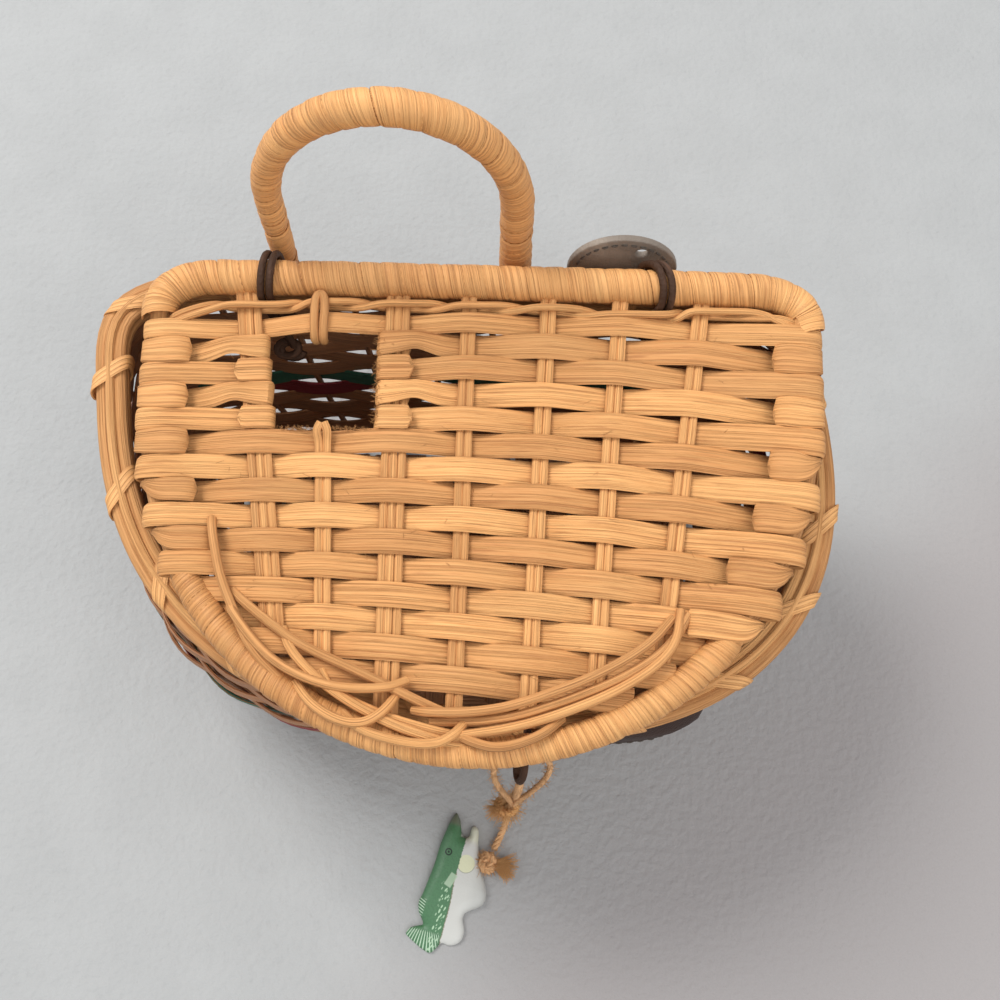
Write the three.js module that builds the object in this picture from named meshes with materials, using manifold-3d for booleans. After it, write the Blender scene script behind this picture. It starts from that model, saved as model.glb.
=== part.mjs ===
// A small wicker fishing creel: woven basket body, hinged woven lid with a fish hole,
// wrapped carrying handle, leather pocket, lace hinges and a fish charm on a jute tie.
// Millimetres, +Z up, the front towards -Y. The origin is on the table under the basket.

import * as THREE from 'three';
import Module from 'manifold-3d';
import { mergeVertices } from 'three/addons/utils/BufferGeometryUtils.js';

const wasm = await Module();
wasm.setup();

const RAD = Math.PI / 180;

// The air that stays between two pieces that touch
const CLEAR = 0.3;

// Lid frame, seen in the lid's own plane: X to the right, depth from the hinge to the front
const LID_SHIFT = 5;
const HINGE_Y = 58;
const HINGE_Z = 112;
const LID_SLOPE = 8 * RAD;
const LID_HALF_WIDTH = 85;
const LID_STRAIGHT = 35;
const LID_CURVE = 86.7;
const ROD_RADIUS = 4.7;
const ROD_CORNER = 10;
const HOOP_RADIUS = 3.9;
const SIDE_RADIUS = 2.4;

// Flat weaving reeds and the round reeds beside them
const REED_THICK = 1.1;
const REED_GAP = 0.4;
const SPOKE_THICK = 1.6;
const STRAND_WIDTH = 2.1;
const TWINE_RADIUS = 0.9;
const BORDER_RADIUS = 1.2;

// Weaving rows of the lid: the depth of the first row, and the pitch as a share of the lid's depth,
// read at three places
const LID_DEPTH = LID_STRAIGHT + LID_CURVE;
const ROW_COUNT = 15;
const FIRST_ROW_NARROWER = 2.6;
const ROW_READINGS = [
  { place: -0.94, first: 15.6, pitchShare: 0.05094 },
  { place: 0.2, first: 10.7, pitchShare: 0.05612 },
  { place: 0.92, first: 12.8, pitchShare: 0.05916 },
];
const FIRST_ROW_SET_IN = [0.1, 1.3, 1.1];
const LAST_WRAPPED_LEFT = 11;
const LAST_WRAPPED_RIGHT = 12;

// Spokes of the lid: places are shares of the lid's half width, at the hinge and at the front
const SPOKE_FRONT_DEPTH = 100;
const SPOKES = [
  { name: 'lid_spoke_1', top: -0.721, front: -0.575, strands: 3 },
  { name: 'lid_spoke_2', top: -0.502, front: -0.435, strands: 2 },
  { name: 'lid_spoke_3', top: -0.266, front: -0.249, strands: 3 },
  { name: 'lid_spoke_4', top: -0.045, front: -0.05, strands: 2 },
  { name: 'lid_spoke_5', top: 0.202, front: 0.165, strands: 2 },
  { name: 'lid_spoke_6', top: 0.427, front: 0.358, strands: 2 },
  { name: 'lid_spoke_7', top: 0.682, front: 0.545, strands: 2 },
];

// The fish hole is left out of these rows, between two spokes, and cuts one spoke
const HOLE_FIRST_ROW = 2;
const HOLE_LAST_ROW = 5;
const HOLE_LEFT_SPOKE = 0;
const HOLE_CUT_SPOKE = 1;
const HOLE_RIGHT_SPOKE = 2;

// Leather laces that hinge the lid: the left one is beside the first spoke, the right one at a
// share of the lid's half width
const LACE_RADIUS = 1;
const LACE_RIGHT_SHARE = 0.53;
const LACE_DROP = 9;
const LACE_KNOT_RADIUS = 3;

// Basket body: the middle line of the rim bundle, and the wall below it
const BODY_MIDDLE_Y = 25;
const RIM_OVERHANG = 7.9;
const RIM_HALF_WIDTH = LID_HALF_WIDTH + RIM_OVERHANG;
const RIM_FRONT = 79;
const RIM_BACK = 36.4;
const FRONT_ROUNDNESS = 2.4;
const BACK_ROUNDNESS = 5;
const RIM_LEAN = 0.13;
const WALL = 2.2;
const FLOOR = 3;
const RIM_REED_WIDTH = 4;
const RIM_REED_HEIGHT = 6;
const RIM_ROUND = 0.8;
const LASH_THICK = 1;
const LASH_WIDTH = 5;
const LASH_GAP = 1.1;
const LASH_TURNS = 18;
const LASH_START = 0;

// Wall sections from the table to the rim: shares of the wall's own height and of the rim's sizes
const WALL_SECTIONS = [
  { height: 0, width: 0.79, front: 0.74, back: 0.84 },
  { height: 0.04, width: 0.83, front: 0.79, back: 0.88 },
  { height: 0.16, width: 0.9, front: 0.87, back: 0.93 },
  { height: 0.34, width: 0.98, front: 0.93, back: 0.97 },
  { height: 0.56, width: 1.035, front: 0.955, back: 1 },
  { height: 0.8, width: 1.03, front: 0.965, back: 1 },
  { height: 1, width: 1, front: 1, back: 1 },
];

// Carrying handle: a wrapped arch behind the hinge rod
const HANDLE_CENTRE_X = -18.6;
const HANDLE_HALF_SPAN = 31.7;
const HANDLE_ARCH_RISE = 36;
const HANDLE_TOP_Z = 166;
const HANDLE_FOOT_Z = 84;
const HANDLE_THIN = 3.2;
const HANDLE_THICK = 4.4;

// Leather tab at the right hinge
const TAB_X = 42.3;
const TAB_HALF_WIDTH = 15;
const TAB_TOP_Z = 118.5;
const TAB_BOTTOM_Z = 92;
const TAB_THICK = 2;

// Front pocket and its flap
const LEATHER = 1.2;
const POCKET_LEFT_X = -33;
const POCKET_RIGHT_X = 65;
const POCKET_TOP_Z = 72;
const POCKET_BOTTOM_Z = 33;
const POCKET_DEPTH = 5.4;
const POCKET_EDGE_SHARE = 0.35;
const POCKET_BOTTOM_SHARE = 0.8;
const WALL_SINK = -3;
const FLAP_LEATHER = 1.5;
const FLAP_TOP_Z = 78;
const FLAP_BOTTOM_Z = 50;

// Lace loop at the front, which the jute is tied through
const KEEPER_X = 17.5;
const KEEPER_RADIUS = 4;
const KEEPER_LACE = 1;
const KEEPER_Z = 84;

// Fish charm, lying on the table
const FISH_LENGTH = 41;
const FISH_DEPTH = 19;
const FISH_THICK = 4;
const FISH_NOSE = { x: 0.5, y: -66.8 };
const FISH_TURN = 14.5 * RAD;

// Jute tie: its route from the lace loop down to the table and to the charm's knot
const JUTE_RADIUS = 1.5;
const JUTE_ROUTE = [
  { x: 17.5, y: -66.7, z: 79.6 },
  { x: 17.4, y: -67.5, z: 77.6 },
  { x: 17.3, y: -67.9, z: 70 },
  { x: 17, y: -68, z: 60 },
  { x: 16.7, y: -68, z: 50 },
  { x: 16.4, y: -68, z: 40 },
  { x: 16.1, y: -68, z: 30 },
  { x: 15.8, y: -68, z: 20 },
  { x: 15.4, y: -68.4, z: 11 },
  { x: 14.8, y: -70, z: 5 },
  { x: 13.8, y: -72.6, z: 2.2 },
  { x: 12.6, y: -75.2, z: 1.55 },
  { x: 11.6, y: -77.4, z: 1.55 },
];
const JUTE_STEPS = 14;
const KNOT_RADIUS = 4;
const KNOT_HEIGHT = 5;

const REED = { color: 0xd7a064, roughness: 0.55 };
const REED_DEEP = { color: 0xb97a42, roughness: 0.6 };
const REED_BROWN = { color: 0x4b3728, roughness: 0.6 };
const LACE_DARK = { color: 0x3c2d2d, roughness: 0.5 };
const LEATHER_DARK = { color: 0x3c2f32, roughness: 0.55 };
const FISH_GREEN = { color: 0x4b8257, roughness: 0.35 };
const JUTE_TAN = { color: 0xaa7846, roughness: 0.95 };

function addMesh(parent, name, geometry, finish) {
  const mesh = new THREE.Mesh(geometry, new THREE.MeshStandardMaterial({ metalness: 0, ...finish }));
  mesh.name = name;
  parent.add(mesh);
  return mesh;
}

// A closed solid from triangles: vertices merged, flat triangles dropped, faces turned outwards
function closedSolid(positions, indices) {
  const loose = new THREE.BufferGeometry();
  loose.setAttribute('position', new THREE.Float32BufferAttribute(positions, 3));
  loose.setIndex(indices);
  const merged = mergeVertices(loose, 1e-4);
  const index = merged.index.array;
  const spot = merged.attributes.position;
  const kept = [];
  const a = new THREE.Vector3();
  const b = new THREE.Vector3();
  const c = new THREE.Vector3();
  let volume = 0;
  for (let i = 0; i < index.length; i += 3) {
    const [p, q, r] = [index[i], index[i + 1], index[i + 2]];
    if (p === q || q === r || r === p) continue;
    kept.push([p, q, r]);
    a.fromBufferAttribute(spot, p);
    b.fromBufferAttribute(spot, q);
    c.fromBufferAttribute(spot, r);
    volume += a.dot(b.cross(c));
  }
  merged.setIndex(kept.flatMap(([p, q, r]) => (volume < 0 ? [p, r, q] : [p, q, r])));
  merged.computeVertexNormals();
  return merged;
}

// A closed solid from one of the library's geometries
function plainSolid(geometry) {
  const { array, count } = geometry.attributes.position;
  return closedSolid(array, geometry.index ? [...geometry.index.array] : [...Array(count).keys()]);
}

// A solid skinned over equal-sized loops of points; a ring of loops closes on itself
function skinLoops(loops, ring = false) {
  const size = loops[0].length;
  const positions = loops.flat().flatMap((point) => [point.x, point.y, point.z]);
  const indices = [];
  const last = ring ? loops.length : loops.length - 1;
  for (let i = 0; i < last; i += 1) {
    const here = i * size;
    const next = ((i + 1) % loops.length) * size;
    for (let j = 0; j < size; j += 1) {
      const k = (j + 1) % size;
      indices.push(here + j, here + k, next + k, here + j, next + k, next + j);
    }
  }
  if (!ring) {
    const end = (loops.length - 1) * size;
    for (let j = 1; j < size - 1; j += 1) {
      indices.push(0, j + 1, j, end, end + j, end + j + 1);
    }
  }
  return closedSolid(positions, indices);
}

// A round tube along a smooth curve through the points
function tubeAlong(points, radius, steps, sides = 8) {
  const outline = [];
  for (let i = 0; i < sides; i += 1) {
    const turn = (i / sides) * Math.PI * 2;
    outline.push(new THREE.Vector2(Math.cos(turn) * radius, Math.sin(turn) * radius));
  }
  const extrudePath = new THREE.CatmullRomCurve3(points);
  const shape = new THREE.Shape(outline);
  const tube = new THREE.ExtrudeGeometry(shape, { extrudePath, steps, bevelEnabled: false });
  return plainSolid(tube);
}

function toManifold(geometry) {
  const vertProperties = new Float32Array(geometry.attributes.position.array);
  const triVerts = new Uint32Array(geometry.index.array);
  return new wasm.Manifold(new wasm.Mesh({ numProp: 3, vertProperties, triVerts }));
}

function cutAway(geometry, tool) {
  const cut = toManifold(geometry).subtract(toManifold(tool)).getMesh();
  return closedSolid(cut.vertProperties, [...cut.triVerts]);
}

// Lid coordinates: X, depth from the hinge towards the front, and height over the lid's plane
const onLid = (x, depth, rise) => new THREE.Vector3(x, -depth, rise);

// The frame's middle line on one side (-1 left, 1 right), by depth
function frameX(depth, side) {
  const beyond = Math.max(0, depth - LID_STRAIGHT) / LID_CURVE;
  return side * LID_HALF_WIDTH * Math.sqrt(Math.max(0, 1 - beyond * beyond));
}

// The depth at which the space inside the front hoop ends, keeping a margin from its middle line
function hoopDepth(x, margin) {
  const across = x / (LID_HALF_WIDTH - margin);
  return LID_STRAIGHT + (LID_CURVE - margin) * Math.sqrt(Math.max(0, 1 - across * across));
}

const spokeWidth = (spoke) => spoke.strands * STRAND_WIDTH;

function spokeX(spoke, depth) {
  const share = spoke.top + (spoke.front - spoke.top) * (depth / SPOKE_FRONT_DEPTH);
  return share * LID_HALF_WIDTH;
}

// The middle of each lace's two strands along the rod, in lid coordinates
const LACE_REACH = ROD_RADIUS + CLEAR + LACE_RADIUS;
const LACE_PAIR = 2 * LACE_RADIUS + CLEAR / 2;
const LACE_LEFT = spokeX(SPOKES[0], LACE_REACH) + spokeWidth(SPOKES[0]) / 2 + LACE_PAIR + CLEAR;
const LACE_RIGHT = LACE_RIGHT_SHARE * LID_HALF_WIDTH;

// A smooth curve through the three readings of a row
function throughReadings(x, values) {
  const [a, b, c] = ROW_READINGS.map((reading) => reading.place * LID_HALF_WIDTH);
  const [p, q, r] = values;
  return (
    (p * (x - b) * (x - c)) / ((a - b) * (a - c)) +
    (q * (x - a) * (x - c)) / ((b - a) * (b - c)) +
    (r * (x - a) * (x - b)) / ((c - a) * (c - b))
  );
}

function rowDepth(row, x) {
  const shifts = row === 1 ? FIRST_ROW_SET_IN : [0, 0, 0];
  const pitches = ROW_READINGS.map((reading) => reading.pitchShare * LID_DEPTH);
  const depths = ROW_READINGS.map((reading, i) => reading.first + shifts[i] + pitches[i] * (row - 1));
  return throughReadings(x, depths);
}

function rowHalfWidth(row, x) {
  const pitch = throughReadings(x, ROW_READINGS.map((reading) => reading.pitchShare * LID_DEPTH));
  const narrower = row === 1 ? FIRST_ROW_NARROWER : 0;
  return (pitch - REED_GAP - narrower) / 2;
}

const WEAVE_RISE = SPOKE_THICK / 2 + CLEAR + REED_THICK / 2;
const SIDE_RISE = SIDE_RADIUS + 1.5 * CLEAR + REED_THICK / 2;

// Odd rows run under the first spoke, even rows over it, and then they take turns
const weaveSign = (row, spokeIndex) => ((row + spokeIndex) % 2 === 0 ? 1 : -1);

// A reed turned back round an edge: half a turn in the X and height plane, then a short tail
function turnBack(centreX, reach, rise, side, sign, tail) {
  const stations = [];
  for (let i = 0; i <= 4; i += 1) {
    const turn = (90 - i * 45) * RAD;
    stations.push({ x: centreX + side * reach * Math.cos(turn), rise: sign * rise * Math.sin(turn) });
  }
  stations.push({ x: centreX - side * tail, rise: -sign * rise });
  return stations;
}

// The end of a row at the side frame: even rows come from below and show a block on top
function frameEnd(row, side) {
  const nearDepth = rowDepth(row, frameX(rowDepth(row, side * LID_HALF_WIDTH), side));
  const half = rowHalfWidth(row, side * LID_HALF_WIDTH);
  const edges = [frameX(nearDepth - half, side), frameX(nearDepth + half, side)];
  const centre = (edges[0] + edges[1]) / 2;
  const drift = Math.abs(edges[0] - edges[1]) / 2;
  const spread = drift + SIDE_RADIUS * (Math.hypot(1, drift / half) - 1);
  const sign = row % 2 === 1 ? 1 : -1;
  const tail = 5 + spread;
  const lead = { x: centre - side * (SIDE_RADIUS + spread + 1), rise: sign * SIDE_RISE };
  return [lead, ...turnBack(centre, SIDE_RISE + spread, SIDE_RISE, side, sign, tail)];
}

// The end of a row that stops just inside the front hoop
function hoopEnd(row, side) {
  const margin = HOOP_RADIUS + CLEAR;
  let x = 0;
  const clears = (at) => rowDepth(row, at) + rowHalfWidth(row, at) < hoopDepth(at, margin);
  while (Math.abs(x) < LID_HALF_WIDTH - margin && clears(x + side * 0.5)) x += side * 0.5;
  const away = SPOKES.map((spoke) => Math.abs(spokeX(spoke, rowDepth(row, x)) - x) - spokeWidth(spoke) / 2);
  const nearest = away.indexOf(Math.min(...away));
  return [{ x, rise: weaveSign(row, nearest) * WEAVE_RISE }];
}

// The fold of a row round a spoke beside the fish hole
function holeFold(row, spokeIndex, side) {
  const spoke = SPOKES[spokeIndex];
  const depth = rowDepth(row, spokeX(spoke, rowDepth(row, 0)));
  const edge = spokeX(spoke, depth) + (side * spokeWidth(spoke)) / 2;
  return turnBack(edge, WEAVE_RISE, WEAVE_RISE, side, weaveSign(row, spokeIndex), spokeWidth(spoke));
}

function reedStrip(row, stations) {
  const loops = stations.map((station, i) => {
    const before = stations[Math.max(0, i - 1)];
    const after = stations[Math.min(stations.length - 1, i + 1)];
    const length = Math.hypot(after.x - before.x, after.rise - before.rise);
    const outX = (-(after.rise - before.rise) / length) * (REED_THICK / 2);
    const outRise = ((after.x - before.x) / length) * (REED_THICK / 2);
    const flatX = THREE.MathUtils.clamp(station.x, -LID_HALF_WIDTH, LID_HALF_WIDTH);
    const depth = rowDepth(row, flatX);
    const half = rowHalfWidth(row, flatX);
    return [
      onLid(station.x + outX, depth - half, station.rise + outRise),
      onLid(station.x + outX, depth + half, station.rise + outRise),
      onLid(station.x - outX, depth + half, station.rise - outRise),
      onLid(station.x - outX, depth - half, station.rise - outRise),
    ];
  });
  return skinLoops(loops);
}

// The stations of a row over and under the spokes between two indices
function weaveStations(row, from, to, low, high) {
  const stations = [];
  for (let i = from; i <= to; i += 1) {
    const spoke = SPOKES[i];
    const x = spokeX(spoke, rowDepth(row, spokeX(spoke, rowDepth(row, 0))));
    const half = spokeWidth(spoke) / 2;
    const rise = weaveSign(row, i) * WEAVE_RISE;
    const edges = [x - half, x + half].filter((edge) => edge > low && edge < high);
    edges.forEach((edge) => stations.push({ x: edge, rise }));
  }
  return stations;
}

const rowName = (row, part = '') => `lid_row_${String(row).padStart(2, '0')}${part}`;

function addRows(lid) {
  const lastSpoke = SPOKES.length - 1;
  for (let row = 1; row <= ROW_COUNT; row += 1) {
    const left = row <= LAST_WRAPPED_LEFT ? frameEnd(row, -1) : hoopEnd(row, -1);
    const right = row <= LAST_WRAPPED_RIGHT ? frameEnd(row, 1) : hoopEnd(row, 1);
    const [low, high] = [left[0].x + CLEAR, right[0].x - CLEAR];
    left.reverse();
    if (row >= HOLE_FIRST_ROW && row <= HOLE_LAST_ROW) {
      const near = weaveStations(row, 0, HOLE_LEFT_SPOKE, low, high).slice(0, 1);
      const fold = holeFold(row, HOLE_LEFT_SPOKE, 1);
      addMesh(lid, rowName(row, '_left'), reedStrip(row, [...left, ...near, ...fold]), REED);
      const back = holeFold(row, HOLE_RIGHT_SPOKE, -1).reverse();
      const far = weaveStations(row, HOLE_RIGHT_SPOKE, lastSpoke, low, high).slice(1);
      addMesh(lid, rowName(row, '_right'), reedStrip(row, [...back, ...far, ...right]), REED);
    } else {
      const across = weaveStations(row, 0, lastSpoke, low, high);
      addMesh(lid, rowName(row), reedStrip(row, [...left, ...across, ...right]), REED);
    }
  }
}

function spokeStrip(spoke, start, end) {
  const half = spokeWidth(spoke) / 2;
  const loops = [start, end].map((depth) => {
    const x = spokeX(spoke, depth);
    return [
      onLid(x - half, depth, SPOKE_THICK / 2),
      onLid(x + half, depth, SPOKE_THICK / 2),
      onLid(x + half, depth, -SPOKE_THICK / 2),
      onLid(x - half, depth, -SPOKE_THICK / 2),
    ];
  });
  return skinLoops(loops);
}

function spokeEnd(spoke) {
  const half = spokeWidth(spoke) / 2;
  const x = spokeX(spoke, SPOKE_FRONT_DEPTH);
  const margin = HOOP_RADIUS + CLEAR;
  return Math.min(hoopDepth(x - half, margin), hoopDepth(x + half, margin)) - CLEAR;
}

function addSpokes(lid) {
  const start = ROD_RADIUS + CLEAR;
  SPOKES.forEach((spoke, i) => {
    if (i === HOLE_CUT_SPOKE) {
      const x = spokeX(spoke, 0);
      const above = rowDepth(1, x) + rowHalfWidth(1, x) + REED_THICK;
      const below = rowDepth(HOLE_LAST_ROW + 1, x) - rowHalfWidth(HOLE_LAST_ROW + 1, x) - REED_THICK;
      addMesh(lid, `${spoke.name}_stub`, spokeStrip(spoke, start, above), REED);
      addMesh(lid, spoke.name, spokeStrip(spoke, below, spokeEnd(spoke)), REED);
    } else {
      addMesh(lid, spoke.name, spokeStrip(spoke, start, spokeEnd(spoke)), REED);
    }
  });
}

// The wrapped rod along the hinge, with its ends bent forwards at the corners
function addRod(lid) {
  const inner = LID_HALF_WIDTH - ROD_CORNER * 1.6;
  const side = (sign) => [
    onLid(sign * inner, 0, 0),
    onLid(sign * (LID_HALF_WIDTH - ROD_CORNER * 0.7), ROD_CORNER * 0.13, 0),
    onLid(sign * (LID_HALF_WIDTH - ROD_CORNER * 0.12), ROD_CORNER * 0.5, 0),
    onLid(sign * LID_HALF_WIDTH, ROD_CORNER * 0.9, 0),
  ];
  const middle = [-0.5, 0, 0.5].map((share) => onLid(share * inner, 0, 0));
  const points = [...side(-1).reverse(), ...middle, ...side(1)];
  addMesh(lid, 'lid_back_rod', tubeAlong(points, ROD_RADIUS, 22, 8), REED_DEEP);
}

// Depth past the last row that wraps the frame on one side
function wrapLimit(side) {
  const row = side < 0 ? LAST_WRAPPED_LEFT : LAST_WRAPPED_RIGHT;
  const x = frameX(rowDepth(row, side * LID_HALF_WIDTH), side);
  return rowDepth(row, x) + rowHalfWidth(row, x) + CLEAR;
}

function addFrame(lid) {
  [-1, 1].forEach((side) => {
    const start = ROD_CORNER * 0.9 + 3 * CLEAR;
    const end = wrapLimit(side);
    const points = [];
    for (let i = 0; i <= 8; i += 1) {
      const depth = start + ((end - start) * i) / 8;
      points.push(onLid(frameX(depth, side), depth, 0));
    }
    const name = side < 0 ? 'lid_frame_left' : 'lid_frame_right';
    addMesh(lid, name, tubeAlong(points, SIDE_RADIUS, 9, 8), REED_DEEP);
  });
  const hoopTurn = (side) => Math.asin((wrapLimit(side) + HOOP_RADIUS * 0.7 - LID_STRAIGHT) / LID_CURVE);
  const startTurn = hoopTurn(-1);
  const endTurn = Math.PI - hoopTurn(1);
  const points = [];
  for (let i = 0; i <= 16; i += 1) {
    const turn = startTurn + ((endTurn - startTurn) * i) / 16;
    points.push(onLid(-LID_HALF_WIDTH * Math.cos(turn), LID_STRAIGHT + LID_CURVE * Math.sin(turn), 0));
  }
  addMesh(lid, 'lid_front_hoop', tubeAlong(points, HOOP_RADIUS, 26, 8), REED_DEEP);
}

// Two thin round reeds that twist round each other along the rod, over and under the spokes
function addTwine(lid) {
  const laceRoom = ROD_RADIUS + 2 * (CLEAR + LACE_RADIUS) + CLEAR + TWINE_RADIUS;
  const usual = ROD_RADIUS + CLEAR + TWINE_RADIUS * 2.4;
  const holds = SPOKES.map((spoke) => {
    const x = spokeX(spoke, usual);
    const reach = spokeWidth(spoke) / 2 + 1;
    const lace = [LACE_LEFT, LACE_RIGHT].find((place) => place > x && place - x < 12);
    const end = lace === undefined ? x + reach : lace + 2 * LACE_RADIUS + 1;
    return { start: x - reach, end, depth: lace === undefined ? usual : laceRoom };
  });
  const lift = SPOKE_THICK / 2 + CLEAR + TWINE_RADIUS;
  const slip = TWINE_RADIUS + CLEAR / 2;
  const reach = LID_HALF_WIDTH - ROD_CORNER * 1.5;
  const strand = (sign) => {
    const points = [onLid(-reach, usual + sign * slip, 0)];
    holds.forEach((hold, i) => {
      const rise = sign * (i % 2 === 0 ? 1 : -1) * lift;
      points.push(onLid(hold.start, hold.depth, rise), onLid(hold.end, hold.depth, rise));
      const next = holds[i + 1];
      const crossX = next ? (hold.end + next.start) / 2 : reach;
      const crossDepth = next ? (hold.depth + next.depth) / 2 : usual;
      points.push(onLid(crossX, crossDepth - sign * (i % 2 === 0 ? 1 : -1) * slip, 0));
    });
    return tubeAlong(points, TWINE_RADIUS, 52, 6);
  };
  addMesh(lid, 'lid_twine_1', strand(1), REED);
  addMesh(lid, 'lid_twine_2', strand(-1), REED);
}

// Spoke ends bent along the inside of the front hoop, lying on the weave
function addBorder(lid) {
  const rise = WEAVE_RISE + REED_THICK / 2 + CLEAR + BORDER_RADIUS;
  const step = 2 * BORDER_RADIUS + CLEAR;
  const arcs = [
    { name: 'lid_border_reed_1', from: 39, to: 127 },
    { name: 'lid_border_reed_2', from: 43, to: 125 },
    { name: 'lid_border_reed_3', from: 50, to: 122 },
  ];
  arcs.forEach((arc, i) => {
    const inset = HOOP_RADIUS + CLEAR + BORDER_RADIUS + i * step;
    const points = [];
    for (let k = 0; k <= 10; k += 1) {
      const turn = (arc.from + ((arc.to - arc.from) * k) / 10) * RAD;
      const x = -(LID_HALF_WIDTH - inset) * Math.cos(turn);
      points.push(onLid(x, LID_STRAIGHT + (LID_CURVE - inset) * Math.sin(turn), rise));
    }
    addMesh(lid, arc.name, tubeAlong(points, BORDER_RADIUS, 14, 6), REED);
  });
}

// Heights that follow the lid's slope, at a place behind or before the hinge
const lidPlaneZ = (y) => HINGE_Z - (HINGE_Y - y) * Math.tan(LID_SLOPE);
const LASH_ROOM = LASH_GAP + LASH_THICK;
const rimTopZ = (y) => lidPlaneZ(y) - (ROD_RADIUS + CLEAR + LASH_ROOM) / Math.cos(LID_SLOPE);
const wallTopZ = (y) => rimTopZ(y) - RIM_REED_HEIGHT - LASH_ROOM - CLEAR;

// The basket's outline in plan at a turn of 0 to 1, for given half width, front and back reach
function outlinePoint(turn, halfWidth, front, back, lean) {
  const angle = turn * Math.PI * 2;
  const [c, s] = [Math.cos(angle), Math.sin(angle)];
  const power = 2 / (s > 0 ? FRONT_ROUNDNESS : BACK_ROUNDNESS);
  const x = halfWidth * Math.sign(c) * Math.abs(c) ** power;
  const y = -(s > 0 ? front : back) * Math.sign(s) * Math.abs(s) ** power;
  return new THREE.Vector2(x - lean * y, BODY_MIDDLE_Y + y);
}

// Turns that give even steps along the outline, finer than equal angles at the back corners
function evenTurns(count) {
  const fine = 960;
  const points = [];
  for (let i = 0; i <= fine; i += 1) {
    points.push(outlinePoint(i / fine, RIM_HALF_WIDTH, RIM_FRONT, RIM_BACK, RIM_LEAN));
  }
  const lengths = [0];
  for (let i = 1; i <= fine; i += 1) lengths.push(lengths[i - 1] + points[i].distanceTo(points[i - 1]));
  const turns = [];
  for (let k = 0, i = 0; k < count; k += 1) {
    const wanted = (lengths[fine] * k) / count;
    while (lengths[i + 1] < wanted) i += 1;
    turns.push((i + (wanted - lengths[i]) / (lengths[i + 1] - lengths[i])) / fine);
  }
  return turns;
}

// A point of the rim's middle line moved outwards, with its outward direction
function rimPoint(turn, offset) {
  const at = (t) => outlinePoint(t, RIM_HALF_WIDTH, RIM_FRONT, RIM_BACK, RIM_LEAN);
  const ahead = at(turn + 0.002).sub(at(turn - 0.002)).normalize();
  const outward = new THREE.Vector2(-ahead.y, ahead.x);
  if (outward.dot(at(turn).sub(new THREE.Vector2(0, BODY_MIDDLE_Y))) < 0) outward.negate();
  return { point: at(turn).addScaledVector(outward, offset), outward };
}

function wallPoint(turn, height, inset) {
  let i = 0;
  while (i < WALL_SECTIONS.length - 2 && WALL_SECTIONS[i + 1].height < height) i += 1;
  const [low, high] = [WALL_SECTIONS[i], WALL_SECTIONS[i + 1]];
  const part = (height - low.height) / (high.height - low.height);
  const mix = (key) => low[key] + (high[key] - low[key]) * part;
  const face = WALL / 2 - inset;
  const lean = RIM_LEAN * height ** 3;
  const spot = outlinePoint(
    turn,
    RIM_HALF_WIDTH * mix('width') + face,
    RIM_FRONT * mix('front') + face,
    RIM_BACK * mix('back') + face,
    lean,
  );
  return new THREE.Vector3(spot.x, spot.y, wallTopZ(spot.y) * height);
}

function addWall(body) {
  const around = evenTurns(44);
  const centre = (z) => new THREE.Vector3(0, BODY_MIDDLE_Y - 10, z);
  const loops = around.map((turn) => {
    const outer = WALL_SECTIONS.map((section) => wallPoint(turn, section.height, 0));
    const inner = WALL_SECTIONS.slice(1).map((section) => wallPoint(turn, section.height, WALL));
    const floorEdge = wallPoint(turn, WALL_SECTIONS[1].height, WALL);
    floorEdge.z = FLOOR;
    return [centre(0), ...outer, ...inner.reverse().slice(0, -1), floorEdge, centre(FLOOR)];
  });
  addMesh(body, 'body_wall', skinLoops(loops, true), REED_BROWN);
}

// Two flat-sided reeds side by side along the rim
function addRim(body) {
  const around = evenTurns(48);
  const reed = (inside, outside) =>
    around.map((turn) => {
      const near = rimPoint(turn, inside).point;
      const far = rimPoint(turn, outside).point;
      const [low, high] = [rimTopZ(near.y) - RIM_REED_HEIGHT, rimTopZ(near.y)];
      const middle = near.clone().lerp(far, 0.5);
      return [
        new THREE.Vector3(near.x, near.y, low + RIM_ROUND),
        new THREE.Vector3(middle.x, middle.y, low),
        new THREE.Vector3(far.x, far.y, low + RIM_ROUND),
        new THREE.Vector3(far.x, far.y, high - RIM_ROUND),
        new THREE.Vector3(middle.x, middle.y, high),
        new THREE.Vector3(near.x, near.y, high - RIM_ROUND),
      ];
    });
  const half = CLEAR / 2;
  addMesh(body, 'rim_outer', skinLoops(reed(half, half + RIM_REED_WIDTH), true), REED);
  addMesh(body, 'rim_inner', skinLoops(reed(-half - RIM_REED_WIDTH, -half), true), REED);
}

// One flat reed wound round both rim reeds, all the way round, eight steps to a turn
function addLashing(body) {
  const around = evenTurns(LASH_TURNS * 8);
  const halfWide = CLEAR / 2 + RIM_REED_WIDTH + LASH_GAP + LASH_THICK / 2;
  const halfHigh = RIM_REED_HEIGHT / 2 + LASH_GAP + LASH_THICK / 2;
  const corner = 1.41;
  const loops = around.map((turn, i) => {
    const wind = ((i + LASH_START) / 8) * Math.PI * 2;
    const [c, s] = [Math.cos(wind), Math.sin(wind)];
    const stretch = Math.min(corner, 1 / Math.max(Math.abs(c), Math.abs(s)));
    const spot = (along, out) => {
      const { point, outward } = rimPoint(turn, c * stretch * (halfWide + out));
      point.addScaledVector(new THREE.Vector2(-outward.y, outward.x), along);
      const middle = rimTopZ(point.y) - RIM_REED_HEIGHT / 2;
      return new THREE.Vector3(point.x, point.y, middle + s * stretch * (halfHigh + out));
    };
    const [wide, thick] = [LASH_WIDTH / 2, LASH_THICK / 2];
    return [spot(-wide, thick), spot(wide, thick), spot(wide, -thick), spot(-wide, -thick)];
  });
  addMesh(body, 'rim_lashing', skinLoops(loops, true), REED_DEEP);
}

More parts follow.
